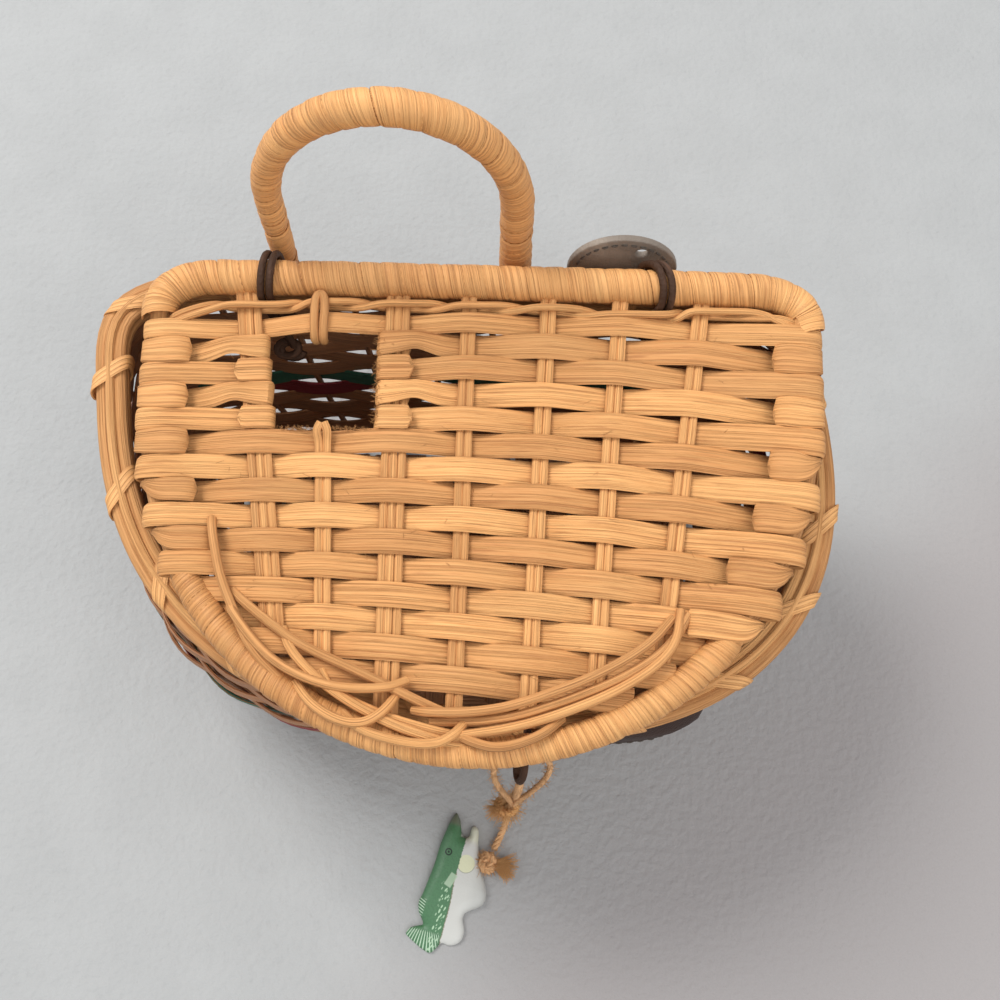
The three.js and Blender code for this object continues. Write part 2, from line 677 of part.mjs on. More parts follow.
const RIM_BACK_FACE_Y = BODY_MIDDLE_Y + RIM_BACK + CLEAR / 2 + RIM_REED_WIDTH;

// The wrapped handle: two upright legs and an arch, thinner at its left foot
function addHandle(body) {
  const y = RIM_BACK_FACE_Y + CLEAR + HANDLE_THICK;
  const spring = HANDLE_TOP_Z - HANDLE_ARCH_RISE;
  const path = [];
  for (let i = 0; i <= 3; i += 1) {
    path.push({ x: -HANDLE_HALF_SPAN, z: HANDLE_FOOT_Z + ((spring - HANDLE_FOOT_Z) * i) / 3 });
  }
  for (let i = 1; i < 14; i += 1) {
    const turn = Math.PI * (1 - i / 14);
    path.push({ x: HANDLE_HALF_SPAN * Math.cos(turn), z: spring + HANDLE_ARCH_RISE * Math.sin(turn) });
  }
  for (let i = 3; i >= 0; i -= 1) {
    path.push({ x: HANDLE_HALF_SPAN, z: HANDLE_FOOT_Z + ((spring - HANDLE_FOOT_Z) * i) / 3 });
  }
  const loops = path.map((spot, i) => {
    const before = path[Math.max(0, i - 1)];
    const after = path[Math.min(path.length - 1, i + 1)];
    const length = Math.hypot(after.x - before.x, after.z - before.z);
    const [outX, outZ] = [-(after.z - before.z) / length, (after.x - before.x) / length];
    const grown = THREE.MathUtils.smoothstep(i, 2, 10);
    const radius = HANDLE_THIN + (HANDLE_THICK - HANDLE_THIN) * grown;
    const loop = [];
    for (let k = 0; k < 8; k += 1) {
      const turn = (k / 8) * Math.PI * 2;
      const out = Math.cos(turn) * radius;
      const x = HANDLE_CENTRE_X + spot.x + outX * out;
      loop.push(new THREE.Vector3(x, y + Math.sin(turn) * radius, spot.z + outZ * out));
    }
    return loop;
  });
  addMesh(body, 'handle', skinLoops(loops), REED_DEEP);
}

// Leather laces over the hinge rod, each of two strands, with a knot inside the basket
function addLaces(body) {
  const reach = LACE_REACH;
  const sides = [
    { name: 'lace_left', place: LACE_LEFT },
    { name: 'lace_right', place: LACE_RIGHT },
  ];
  sides.forEach(({ name, place }) => {
    [-1, 1].forEach((sign) => {
      const x = LID_SHIFT + place + sign * (LACE_RADIUS + CLEAR / 2);
      const points = [new THREE.Vector3(x, HINGE_Y - reach, HINGE_Z - LACE_DROP)];
      for (let i = 0; i <= 6; i += 1) {
        const turn = Math.PI * (1 - i / 6);
        const y = HINGE_Y + reach * Math.cos(turn);
        points.push(new THREE.Vector3(x, y, HINGE_Z + reach * Math.sin(turn)));
      }
      points.push(new THREE.Vector3(x, HINGE_Y + reach, HINGE_Z - 2));
      addMesh(body, `${name}_${sign < 0 ? 1 : 2}`, tubeAlong(points, LACE_RADIUS, 10, 6), LACE_DARK);
    });
    const knot = plainSolid(new THREE.SphereGeometry(LACE_KNOT_RADIUS, 8, 6));
    const mesh = addMesh(body, `${name}_knot`, knot, LACE_DARK);
    mesh.position.set(LID_SHIFT + place, HINGE_Y - reach, HINGE_Z - LACE_DROP - LACE_KNOT_RADIUS - CLEAR);
  });
}

function addTab(body) {
  const outline = new THREE.Shape();
  const shoulder = TAB_TOP_Z - TAB_HALF_WIDTH;
  outline.moveTo(-TAB_HALF_WIDTH, TAB_BOTTOM_Z);
  outline.lineTo(TAB_HALF_WIDTH, TAB_BOTTOM_Z);
  outline.lineTo(TAB_HALF_WIDTH, shoulder);
  outline.absarc(0, shoulder, TAB_HALF_WIDTH, 0, Math.PI, false);
  const plate = { depth: TAB_THICK, bevelEnabled: false, curveSegments: 8 };
  const solid = plainSolid(new THREE.ExtrudeGeometry(outline, plate));
  const tab = addMesh(body, 'back_tab', solid, LEATHER_DARK);
  tab.rotation.x = Math.PI / 2;
  tab.position.set(TAB_X, RIM_BACK_FACE_Y + LASH_ROOM + CLEAR + TAB_THICK, 0);
}

// The wall's outer face at a place across the front and a height over the table
function frontFace(x, z, out) {
  const heightAt = (turn) => {
    let height = z / wallTopZ(BODY_MIDDLE_Y - RIM_FRONT);
    for (let i = 0; i < 3; i += 1) height = z / wallTopZ(wallPoint(turn, height, 0).y);
    return height;
  };
  let best = 0;
  let miss = Infinity;
  for (let i = 0; i <= 240; i += 1) {
    const turn = i / 480;
    const gap = Math.abs(wallPoint(turn, heightAt(turn), 0).x - x);
    if (gap < miss) [best, miss] = [turn, gap];
  }
  const height = heightAt(best);
  const along = wallPoint(best + 0.004, height, 0).sub(wallPoint(best - 0.004, height, 0));
  const outward = new THREE.Vector3(along.y, -along.x, 0).normalize();
  if (outward.y > 0) outward.negate();
  const spot = wallPoint(best, height, 0);
  return new THREE.Vector3(spot.x, spot.y, z).addScaledVector(outward, out);
}

// A shell that follows the front wall: rows of depth and height give its section
function frontShell(left, right, section) {
  const loops = [];
  for (let i = 0; i <= 12; i += 1) {
    const share = i / 12;
    const swell = Math.sqrt(Math.max(0, 1 - (2 * share - 1) ** 6));
    const x = left + (right - left) * share;
    const full = POCKET_EDGE_SHARE + (1 - POCKET_EDGE_SHARE) * swell;
    loops.push(section.map(([out, z, swells]) => frontFace(x, z, swells ? out * full : out)));
  }
  return skinLoops(loops);
}

// The basket's full outer shape, grown outwards, to cut pieces that lie against the wall
function grownWall(grow) {
  const loops = evenTurns(44).map((turn) => {
    const outer = WALL_SECTIONS.map((section) => wallPoint(turn, section.height, -grow));
    const low = new THREE.Vector3(0, BODY_MIDDLE_Y, 0);
    return [low, ...outer, new THREE.Vector3(0, BODY_MIDDLE_Y, wallTopZ(BODY_MIDDLE_Y))];
  });
  return skinLoops(loops, true);
}

function addPocket(body) {
  const far = CLEAR + POCKET_DEPTH;
  const middleZ = (POCKET_TOP_Z + POCKET_BOTTOM_Z) / 2;
  const outer = frontShell(POCKET_LEFT_X, POCKET_RIGHT_X, [
    [WALL_SINK, POCKET_TOP_Z, false],
    [WALL_SINK, POCKET_BOTTOM_Z, false],
    [far * POCKET_BOTTOM_SHARE, POCKET_BOTTOM_Z, true],
    [far, middleZ, true],
    [far, POCKET_TOP_Z, true],
  ]);
  const hollow = frontShell(POCKET_LEFT_X + 3 * LEATHER, POCKET_RIGHT_X - 3 * LEATHER, [
    [WALL_SINK, POCKET_TOP_Z + LEATHER, false],
    [WALL_SINK, POCKET_BOTTOM_Z + LEATHER, false],
    [far * POCKET_BOTTOM_SHARE - LEATHER, POCKET_BOTTOM_Z + LEATHER, true],
    [far - LEATHER, middleZ, true],
    [far - LEATHER, POCKET_TOP_Z + LEATHER, true],
  ]);
  const pouch = cutAway(cutAway(outer, grownWall(CLEAR)), cutAway(hollow, grownWall(CLEAR + LEATHER)));
  addMesh(body, 'front_pocket', pouch, LEATHER_DARK);
  const under = far + CLEAR;
  const over = under + FLAP_LEATHER;
  const flap = frontShell(POCKET_LEFT_X - 1, POCKET_RIGHT_X + 1, [
    [WALL_SINK, FLAP_TOP_Z, false],
    [WALL_SINK, POCKET_TOP_Z + CLEAR, false],
    [under, POCKET_TOP_Z + CLEAR, true],
    [under, FLAP_BOTTOM_Z, true],
    [over, FLAP_BOTTOM_Z, true],
    [over, POCKET_TOP_Z + FLAP_LEATHER, true],
    [CLEAR + FLAP_LEATHER, FLAP_TOP_Z, false],
  ]);
  addMesh(body, 'pocket_flap', cutAway(flap, grownWall(CLEAR)), LEATHER_DARK);
}

// The lace loop under the lid's front edge, standing out from the rim
function addKeeper(body) {
  const rimFaceY = BODY_MIDDLE_Y - RIM_FRONT - CLEAR / 2 - RIM_REED_WIDTH;
  const ring = plainSolid(new THREE.TorusGeometry(KEEPER_RADIUS, KEEPER_LACE, 6, 14));
  const keeper = addMesh(body, 'keeper_loop', ring, LACE_DARK);
  keeper.rotation.y = Math.PI / 2;
  keeper.position.set(KEEPER_X, rimFaceY - CLEAR - KEEPER_LACE - KEEPER_RADIUS, KEEPER_Z);
}

function addJute(body) {
  const points = JUTE_ROUTE.map(({ x, y, z }) => new THREE.Vector3(x, y, z));
  addMesh(body, 'jute_tie', tubeAlong(points, JUTE_RADIUS, JUTE_STEPS, 8), JUTE_TAN);
  const end = points.at(-1);
  const onward = end.clone().sub(points.at(-2)).normalize();
  const profile = [
    new THREE.Vector2(0, 0),
    new THREE.Vector2(KNOT_RADIUS * 0.8, 0),
    new THREE.Vector2(KNOT_RADIUS, KNOT_HEIGHT * 0.3),
    new THREE.Vector2(KNOT_RADIUS * 0.75, KNOT_HEIGHT * 0.85),
    new THREE.Vector2(0, KNOT_HEIGHT),
  ];
  const knot = plainSolid(new THREE.LatheGeometry(profile, 10));
  const mesh = addMesh(body, 'jute_knot', knot, JUTE_TAN);
  mesh.rotation.x = Math.PI / 2;
  const away = KNOT_RADIUS + CLEAR + 0.2;
  mesh.position.set(end.x + onward.x * away, end.y + onward.y * away, 0);
}

// Fish profile from nose to tail: shares of its length, and of its depth over and under its middle
const FISH_SECTIONS = [
  { along: 0, over: 0.05, under: 0.12 },
  { along: 0.1, over: 0.18, under: 0.3 },
  { along: 0.24, over: 0.27, under: 0.4 },
  { along: 0.42, over: 0.34, under: 0.52 },
  { along: 0.55, over: 0.36, under: 0.55 },
  { along: 0.62, over: 0.48, under: 0.42 },
  { along: 0.72, over: 0.4, under: 0.26 },
  { along: 0.82, over: 0.2, under: 0.18 },
  { along: 0.9, over: 0.3, under: 0.26 },
  { along: 1, over: 0.42, under: 0.36 },
];

function addFish(body) {
  const loops = FISH_SECTIONS.map(({ along, over, under }) => {
    const y = -along * FISH_LENGTH;
    const [left, right] = [-over * FISH_DEPTH, under * FISH_DEPTH];
    const soft = (right - left) * 0.15;
    return [
      new THREE.Vector3(left + soft, y, 0),
      new THREE.Vector3(right - soft, y, 0),
      new THREE.Vector3(right, y, FISH_THICK * 0.45),
      new THREE.Vector3(right - soft, y, FISH_THICK * 0.9),
      new THREE.Vector3((left + right) / 2, y, FISH_THICK),
      new THREE.Vector3(left + soft, y, FISH_THICK * 0.9),
      new THREE.Vector3(left, y, FISH_THICK * 0.45),
    ];
  });
  const fish = addMesh(body, 'fish_charm', skinLoops(loops), FISH_GREEN);
  fish.rotation.z = -FISH_TURN;
  fish.position.set(FISH_NOSE.x, FISH_NOSE.y, 0);
}

const creel = new THREE.Group();
const body = new THREE.Group();
const lid = new THREE.Group();
lid.position.set(LID_SHIFT, HINGE_Y, HINGE_Z);
lid.rotation.x = LID_SLOPE;
creel.add(body, lid);

addWall(body);
addRim(body);
addLashing(body);
addHandle(body);
addLaces(body);
addTab(body);
addPocket(body);
addKeeper(body);
addJute(body);
addFish(body);

addRod(lid);
addFrame(lid);
addSpokes(lid);
addRows(lid);
addTwine(lid);
addBorder(lid);

export default creel;
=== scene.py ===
"""Builds the looks of a small fishing creel bag: woven basket, hinged lid, handle, leather and charm."""

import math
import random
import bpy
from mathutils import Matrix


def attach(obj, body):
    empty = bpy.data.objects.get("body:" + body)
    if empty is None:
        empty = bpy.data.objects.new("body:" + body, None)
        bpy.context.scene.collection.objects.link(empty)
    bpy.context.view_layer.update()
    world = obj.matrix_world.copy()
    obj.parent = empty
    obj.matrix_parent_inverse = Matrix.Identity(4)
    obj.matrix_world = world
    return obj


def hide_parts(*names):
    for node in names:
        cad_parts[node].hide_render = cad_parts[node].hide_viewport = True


bl_info = {
    "name": "Fishing Creel Bag",
    "version": (1, 0, 0),
    "blender": (4, 5, 0),
    "location": "View3D > Sidebar > Creel",
    "description": "Weaves a small wicker creel with a hinged lid, a wrapped handle and a fish charm",
    "category": "Object",
}

import bpy
import numpy as np
from mathutils import Matrix, Vector, noise

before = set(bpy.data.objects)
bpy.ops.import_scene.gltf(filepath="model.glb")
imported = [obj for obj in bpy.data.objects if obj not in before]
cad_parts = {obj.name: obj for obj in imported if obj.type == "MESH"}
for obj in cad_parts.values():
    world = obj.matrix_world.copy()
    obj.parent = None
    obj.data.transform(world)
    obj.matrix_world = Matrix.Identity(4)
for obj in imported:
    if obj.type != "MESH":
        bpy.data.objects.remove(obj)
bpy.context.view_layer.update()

MM = 0.001
TURN = 2 * math.pi


def length(name, text, size):
    return bpy.props.FloatProperty(
        name=name, description=text, default=size, min=0.0, unit="LENGTH", precision=5
    )


def angle(name, text, degrees):
    return bpy.props.FloatProperty(
        name=name, description=text, default=math.radians(degrees), unit="ROTATION"
    )


def count(name, text, number):
    return bpy.props.IntProperty(name=name, description=text, default=number, min=1)


def colour(name, text, red, green, blue):
    """A colour given in screen values from 0 to 255, kept as linear light."""
    linear = [((v / 255 + 0.055) / 1.055) ** 2.4 if v > 10 else v / 255 / 12.92 for v in (red, green, blue)]
    return bpy.props.FloatVectorProperty(
        name=name, description=text, default=linear, subtype="COLOR", size=3, min=0.0, max=1.0
    )


class CreelLid(bpy.types.PropertyGroup):
    half_width: length("Half width", "Middle line of the frame from the lid's centre", 0.085)
    straight: length("Straight sides", "Depth at which the sides start to curve in", 0.035)
    reach: length("Curve reach", "Depth of the curved front past the straight sides", 0.0867)
    rod_radius: length("Rod radius", "Wrapped rod along the hinge", 0.0047)
    rod_corner: length("Rod corner", "Depth of the rod's bent ends", 0.01)
    hoop_radius: length("Hoop radius", "Wrapped hoop along the front", 0.0039)
    side_radius: length("Side radius", "Round reeds that the rows turn round", 0.0024)
    reed_thick: length("Reed thickness", "Flat weaving reed", 0.0011)
    reed_gap: length("Reed gap", "Air between neighbouring rows", 0.0004)
    spoke_thick: length("Spoke thickness", "Height of the spokes", 0.0016)
    strand: length("Strand width", "One strand of a spoke", 0.0021)
    twine: length("Twine radius", "Round reeds twisted along the rod", 0.0009)
    border: length("Border radius", "Round reeds along the front hoop", 0.0012)
    slope: angle("Slope", "Fall of the closed lid towards the front", 8)
    shift: length("Shift", "Lid's centre to the right of the origin", 0.005)
    hinge_y: length("Hinge place", "Hinge behind the origin", 0.058)
    hinge_z: length("Hinge height", "Hinge over the table", 0.112)


class CreelBasket(bpy.types.PropertyGroup):
    middle_y: length("Middle", "Widest line of the rim behind the origin", 0.025)
    overhang: length("Overhang", "Rim's middle line outside the lid's frame", 0.0079)
    front: length("Front reach", "Rim's middle line in front of the widest line", 0.079)
    back: length("Back reach", "Rim's middle line behind the widest line", 0.0364)
    wall: length("Wall", "Thickness of the woven wall", 0.0022)
    rim_width: length("Rim reed width", "Each rim reed across", 0.004)
    rim_height: length("Rim reed height", "Each rim reed from top to bottom", 0.006)
    stakes: count("Stakes", "Upright reeds round the wall, an even number", 28)
    rows: count("Rows", "Rows of flat reed up the wall", 15)
    lashings: count("Lashings", "Loops that bind the rim", 20)


class CreelHandle(bpy.types.PropertyGroup):
    centre_x: bpy.props.FloatProperty(
        name="Centre", description="Middle of the arch", default=-0.0186, unit="LENGTH", precision=5
    )
    half_span: length("Half span", "Each leg from the arch's middle", 0.0317)
    rise: length("Arch rise", "Height of the arch over its legs", 0.036)
    top: length("Top", "Arch's middle line over the table", 0.166)
    foot: length("Foot", "Lower end of the legs over the table", 0.084)
    thin: length("Thin radius", "Left leg", 0.0032)
    thick: length("Thick radius", "Arch and right leg", 0.0044)


class CreelLeather(bpy.types.PropertyGroup):
    lace: length("Lace radius", "Round laces", 0.001)
    tab_x: length("Tab place", "Middle of the tab", 0.0423)
    tab_half: length("Tab half width", "Tab across", 0.015)
    tab_top: length("Tab top", "Tab's top over the table", 0.1185)
    tab_bottom: length("Tab bottom", "Tab's lower edge over the table", 0.092)
    tab_thick: length("Tab thickness", "Tab's leather", 0.002)
    pocket_top: length("Pocket top", "Pocket's upper edge over the table", 0.072)
    pocket_bottom: length("Pocket bottom", "Pocket's lower edge over the table", 0.033)
    pocket_depth: length("Pocket depth", "How far the pocket stands out", 0.0054)
    flap_top: length("Flap top", "Flap's upper edge over the table", 0.078)
    flap_bottom: length("Flap bottom", "Flap's lower edge over the table", 0.05)


class CreelCharm(bpy.types.PropertyGroup):
    jute: length("Jute radius", "The whole jute cord", 0.0015)
    fish_length: length("Fish length", "Mouth to tail", 0.041)
    fish_thick: length("Fish thickness", "Fish from the table up", 0.004)
    fish_turn: angle("Fish turn", "Fish turned from straight ahead", 14.5)


class CreelColours(bpy.types.PropertyGroup):
    reed: colour("Reed", "Natural reed of the lid", 216, 146, 82)
    reed_deep: colour("Deep reed", "Its darker grain", 148, 88, 42)
    reed_light: colour("Light reed", "Its paler grain", 240, 186, 120)
    brown: colour("Brown reed", "Dyed reed of the basket", 162, 112, 75)
    green: colour("Green reed", "One dyed row", 46, 96, 76)
    maroon: colour("Maroon reed", "One dyed row", 132, 40, 48)
    lace: colour("Lace", "Dark laces", 64, 42, 28)
    leather: colour("Leather", "Pocket and flap", 50, 34, 28)
    tab: colour("Tab leather", "Tab behind the hinge", 152, 138, 124)
    fish_back: colour("Fish back", "Painted back", 74, 118, 80)
    fish_belly: colour("Fish belly", "Painted belly", 196, 195, 188)
    jute: colour("Jute", "Tie, knot and tufts", 210, 162, 114)
    floor: colour("Floor", "Ground under the creel", 166, 166, 164)


class CreelSettings(bpy.types.PropertyGroup):
    lid: bpy.props.PointerProperty(type=CreelLid)
    basket: bpy.props.PointerProperty(type=CreelBasket)
    handle: bpy.props.PointerProperty(type=CreelHandle)
    leather: bpy.props.PointerProperty(type=CreelLeather)
    charm: bpy.props.PointerProperty(type=CreelCharm)
    colours: bpy.props.PointerProperty(type=CreelColours)


# Weaving rows of the lid, read at three places: share of the half width, depth of the first row,
# and pitch as a share of the lid's depth
ROW_COUNT = 15
ROW_READINGS = ((-0.94, 15.6 * MM, 0.05094), (0.2, 10.7 * MM, 0.05612), (0.92, 12.8 * MM, 0.05916))
FIRST_ROW_SET_IN = (0.1 * MM, 0.7 * MM, 0.6 * MM)
FIRST_ROW_NARROWER = 1 * MM
LAST_WRAPPED = {-1: 11, 1: 12}
HOLE_ROWS = range(2, 6)

# Spokes of the lid: share of the half width at the hinge and at the front, and strands
SPOKES = (
    (-0.742, -0.575, 3),
    (-0.502, -0.435, 2),
    (-0.266, -0.249, 3),
    (-0.045, -0.05, 2),
    (0.202, 0.165, 2),
    (0.427, 0.358, 2),
    (0.682, 0.545, 2),
)
SPOKE_FRONT_DEPTH = 0.1
HOLE_CUT_SPOKE = 1

# Border reeds along the front hoop, in millimetres of the lid: across and depth, with their height
BORDER_REEDS = (
    (
        4.2,
        ((-66.5, 66), (-65.7, 69.1), (-64.2, 75.7), (-62.5, 81.6), (-58.7, 89.5), (-53.9, 98.7), (-46, 106)),
    ),
    (3.4, ((-60, 84), (-57.2, 86.5), (-50.4, 91.7), (-42.3, 97.1), (-27.3, 103.3), (-10, 111.2), (-2, 114))),
    (5.4, ((-60, 87), (-59.5, 89), (-52.5, 97.4), (-46, 102.8), (-34.3, 107.3), (-21, 107.4), (-16, 105))),
    (4.6, ((-47, 93), (-43.8, 99.6), (-34.3, 107.8), (-20.7, 115.1), (-7.3, 119.4), (0, 120))),
    (5.8, ((-43, 106), (-38.4, 111.5), (-31.5, 115.3), (-25.5, 115.7), (-20.8, 112.7), (-18, 108))),
    (3.2, ((-37, 103), (-34.3, 107.8), (-22, 113.4), (-9.8, 116.7), (-2, 118))),
    (5.8, ((-31, 113), (-26.6, 117.1), (-16.9, 119.7), (-8.4, 120.2), (-3.7, 117.6), (-1, 114))),
    (5.2, ((-14, 112), (-9.9, 112.6), (0.9, 112.3), (11.7, 110.2), (31, 102.5), (43.1, 94.9), (49, 88))),
    (3.8, ((-10, 114.7), (7, 114.3), (23.8, 108.7), (38.3, 102.3), (48, 95.5), (53, 87))),
    (4.6, ((-7, 119), (-3.7, 118), (11.8, 115.6), (31, 108.5), (43.1, 101.5), (49.5, 94.7), (51, 86))),
    (6, ((-4, 117), (-0.1, 119.2), (7.1, 120.9), (16.7, 117.6), (22, 113))),
)

# Wall sections: share of the wall's height, then shares of the rim's half width, front and back
WALL_SECTIONS = (
    (0, 0.79, 0.74, 0.84),
    (0.04, 0.83, 0.79, 0.88),
    (0.16, 0.9, 0.87, 0.93),
    (0.34, 0.98, 0.93, 0.97),
    (0.56, 1.035, 0.955, 1),
    (0.8, 1.03, 0.965, 1),
    (1, 1, 1, 1),
)
FRONT_ROUNDNESS = 2.4
BACK_ROUNDNESS = 5
RIM_LEAN = 0.13
LASH_ROOM = 2.1 * MM
CLEAR = 0.3 * MM
# How far the rows' ends go under the front hoop
UNDER_HOOP = 2.8 * MM
# Distances from a folded end of a row at which it is widest, and at which it dips
FOLD_AT = 6 * MM
DIP_AT = 20 * MM
FOLD_REACH = 5 * MM
# Slant of the lashings on the left and on the right, and where the right side begins
LASH_SKEWS = (0.95, 1.25)
LASH_RIGHT_SIDE = 0.03
GREEN_ROW = 7
MAROON_ROW = 6

# The jute's route from the lace loop to the charm, in millimetres
JUTE_ROUTE = (
    (17.5, -66.7, 79.6),
    (17.4, -67.5, 77.6),
    (17.3, -67.9, 70),
    (17, -68, 60),
    (16.7, -68, 50),
    (16.4, -68, 40),
    (16.1, -68, 30),
    (15.8, -68, 20),
    (15.4, -68.4, 11),
    (14.8, -70, 5),
    (13.8, -72.6, 2.2),
    (12.6, -75.2, 1.55),
    (11.6, -77.4, 1.55),
)

# The fish seen from above, in shares of its length: along from the nose, and across
FISH_OUTLINE = (
    (0.0, -0.018), (0.03, 0.006), (0.05, 0.022), (0.09, 0.04), (0.126, 0.051), (0.155, 0.07),
    (0.164, 0.092), (0.155, 0.112), (0.134, 0.123), (0.1, 0.12), (0.065, 0.125), (0.058, 0.145),
    (0.075, 0.172), (0.11, 0.186), (0.163, 0.196), (0.21, 0.212), (0.267, 0.234), (0.325, 0.262),
    (0.384, 0.293), (0.44, 0.33), (0.499, 0.357), (0.55, 0.365), (0.594, 0.354), (0.625, 0.32),
    (0.646, 0.285), (0.682, 0.242), (0.715, 0.236), (0.745, 0.248), (0.78, 0.268), (0.811, 0.277),
    (0.86, 0.276), (0.894, 0.26), (0.92, 0.225), (0.932, 0.184), (0.925, 0.135), (0.955, 0.118),
    (0.985, 0.101), (1.012, 0.085), (1.02, 0.058), (1.0, -0.01), (0.97, -0.08), (0.941, -0.14),
    (0.91, -0.132), (0.886, -0.116), (0.862, -0.075), (0.843, -0.029), (0.81, -0.05), (0.767, -0.089),
    (0.72, -0.108), (0.684, -0.112), (0.64, -0.1), (0.551, -0.091), (0.47, -0.082), (0.404, -0.076),
    (0.33, -0.076), (0.259, -0.075), (0.2, -0.07), (0.158, -0.063), (0.11, -0.056), (0.066, -0.05),
    (0.03, -0.04), (0.008, -0.032),
)
FISH_NOSE = (0.5 * MM, -66.8 * MM)


# Modelling


def deselect():
    if bpy.context.mode != "OBJECT":
        bpy.ops.object.mode_set(mode="OBJECT")
    bpy.ops.object.select_all(action="DESELECT")


def pick(*pieces):
    deselect()
    for piece in pieces:
        piece.select_set(True)
    bpy.context.view_layer.objects.active = pieces[0]


def drawn_line(name, points, closed=False, tilts=None, sizes=None):
    """A line through the points, drawn from a path primitive."""
    deselect()
    bpy.ops.curve.primitive_nurbs_path_add(location=(0, 0, 0))
    line = bpy.context.object
    line.name = name
    line.data.splines.clear()
    spline = line.data.splines.new("POLY")
    spline.points.add(len(points) - 1)
    spline.points.foreach_set("co", [c for point in points for c in (*point, 1.0)])
    if tilts is not None:
        spline.points.foreach_set("tilt", tilts)
    if sizes is not None:
        spline.points.foreach_set("radius", sizes)
    spline.use_cyclic_u = closed
    return line


def distances(points, closed):
    """How far along each point lies, and the whole way round for a closed line."""
    spots = np.array([tuple(point) for point in points], dtype=float)
    if closed:
        spots = np.vstack([spots, spots[:1]])
    steps = np.linalg.norm(np.diff(spots, axis=0), axis=1)
    return np.concatenate([[0.0], np.cumsum(steps)])


def close_up(piece):
    """Merges what meets, and turns the faces outwards."""
    pick(piece)
    bpy.ops.object.mode_set(mode="EDIT")
    bpy.ops.mesh.select_all(action="SELECT")
    bpy.ops.mesh.remove_doubles(threshold=1e-6)
    bpy.ops.mesh.normals_make_consistent(inside=False)
    bpy.ops.object.mode_set(mode="OBJECT")


def grain_start(name):
    """A start for the grain that differs from piece to piece."""
    return random.Random(name).uniform(0, 4)


def sweep(name, points, outline, closed=False, tilts=None, sizes=None, twist="Z_UP"):
    """A reed or cord: an outline swept along points, with its UV map in metres along and around it."""
    shape = drawn_line("outline", [(x, y, 0.0) for x, y in outline], closed=True)
    line = drawn_line(name, points, closed, tilts, sizes)
    line.data.twist_mode = twist
    line.data.bevel_mode = "OBJECT"
    line.data.bevel_object = shape
    line.data.use_fill_caps = not closed
    pick(line)
    bpy.ops.object.convert(target="MESH")
    piece = bpy.context.object
    bpy.data.objects.remove(shape)
    along = distances(points, closed) + grain_start(name)
    around = distances(outline, True)
    layer = piece.data.uv_layers[0]
    values = np.empty(len(layer.data) * 2, dtype=np.float32)
    layer.data.foreach_get("uv", values)
    values[0::2] = np.interp(values[0::2] * (len(along) - 1), np.arange(len(along)), along)
    values[1::2] = np.interp(values[1::2] * (len(around) - 1), np.arange(len(around)), around)
    layer.data.foreach_set("uv", values)
    close_up(piece)
    return piece


def joined(name, pieces):
    pick(*pieces)
    if len(pieces) > 1:
        bpy.ops.object.join()
    pieces[0].name = name
    return pieces[0]


def put(piece, matrix):
    """Moves a piece to its place and applies it, so that the object sits at the origin."""
    pick(piece)
    piece.matrix_world = matrix
    bpy.ops.object.transform_apply(location=True, rotation=True, scale=True)
    if matrix.to_3x3().determinant() < 0:
        close_up(piece)


def finished(piece, body, finish, *nodes, smooth=40, slot=None):
    """Gives a piece its finish and smooth faces, and lets it ride on a body and stand for its nodes."""
    pick(piece)
    piece.data.materials.clear()
    piece.data.materials.append(finish)
    bpy.ops.object.shade_smooth_by_angle(angle=math.radians(smooth))
    piece.data.uv_layers.active_index = 0
    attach(piece, body)
    if nodes:
        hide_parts(*nodes)
    return piece


def softened(points, rounds=2, closed=False):
    """Cuts the corners of a line, again and again, until it bends smoothly."""
    for _ in range(rounds):
        result = [] if closed else [points[0]]
        pairs = zip(points, points[1:] + points[:1]) if closed else zip(points, points[1:])
        for a, b in pairs:
            result.append(tuple(p * 0.75 + q * 0.25 for p, q in zip(a, b)))
            result.append(tuple(p * 0.25 + q * 0.75 for p, q in zip(a, b)))
        if not closed:
            result.append(points[-1])
        points = result
    return points


def evenly(points, step):
    """The same line with a point every step."""
    along = distances(points, False)
    number = max(2, round(along[-1] / step) + 1)
    wanted = np.linspace(0, along[-1], number)
    spots = np.array(points, dtype=float)
    return [tuple(np.interp(w, along, spots[:, k]) for k in range(spots.shape[1])) for w in wanted]


def circle(radius, sides=10, flat=1.0):
    turns = [TURN * i / sides for i in range(sides)]
    return [(radius * math.cos(turn), radius * flat * math.sin(turn)) for turn in turns]


def flat_reed(width, thick, crown=-1, steps=10, bulge=0.8):
    """Section of a flat reed that stands on its edge: domed on the crown side, with its seam behind."""
    outline = [(-crown * thick / 2, 0.0), (-crown * thick / 2, -width * 0.44)]
    for i in range(steps + 1):
        across = 2 * i / steps - 1
        dome = (1 - bulge) + bulge * math.sqrt(max(0.0, 1 - across**4 * 0.92))
        outline.append((crown * thick * (dome - 0.5), across * width / 2))
    outline.append((-crown * thick / 2, width * 0.44))
    return outline


def wobble(seed, *place):
    return noise.noise(Vector((*place, 0.0, 0.0)[:3]) + Vector((seed * 7.31, seed * 3.17, seed * 1.93)))


def side_frames(points):
    """Two directions across a line at each point, carried along without twist."""
    spots = [Vector(point) for point in points]
    heading = (spots[1] - spots[0]).normalized()
    across = heading.orthogonal().normalized()
    frames = []
    for i in range(len(spots)):
        ahead = spots[min(i + 1, len(spots) - 1)] - spots[max(i - 1, 0)]
        ahead.normalize()
        across = (across - ahead * across.dot(ahead)).normalized()
        frames.append((across.copy(), ahead.cross(across)))
    return frames


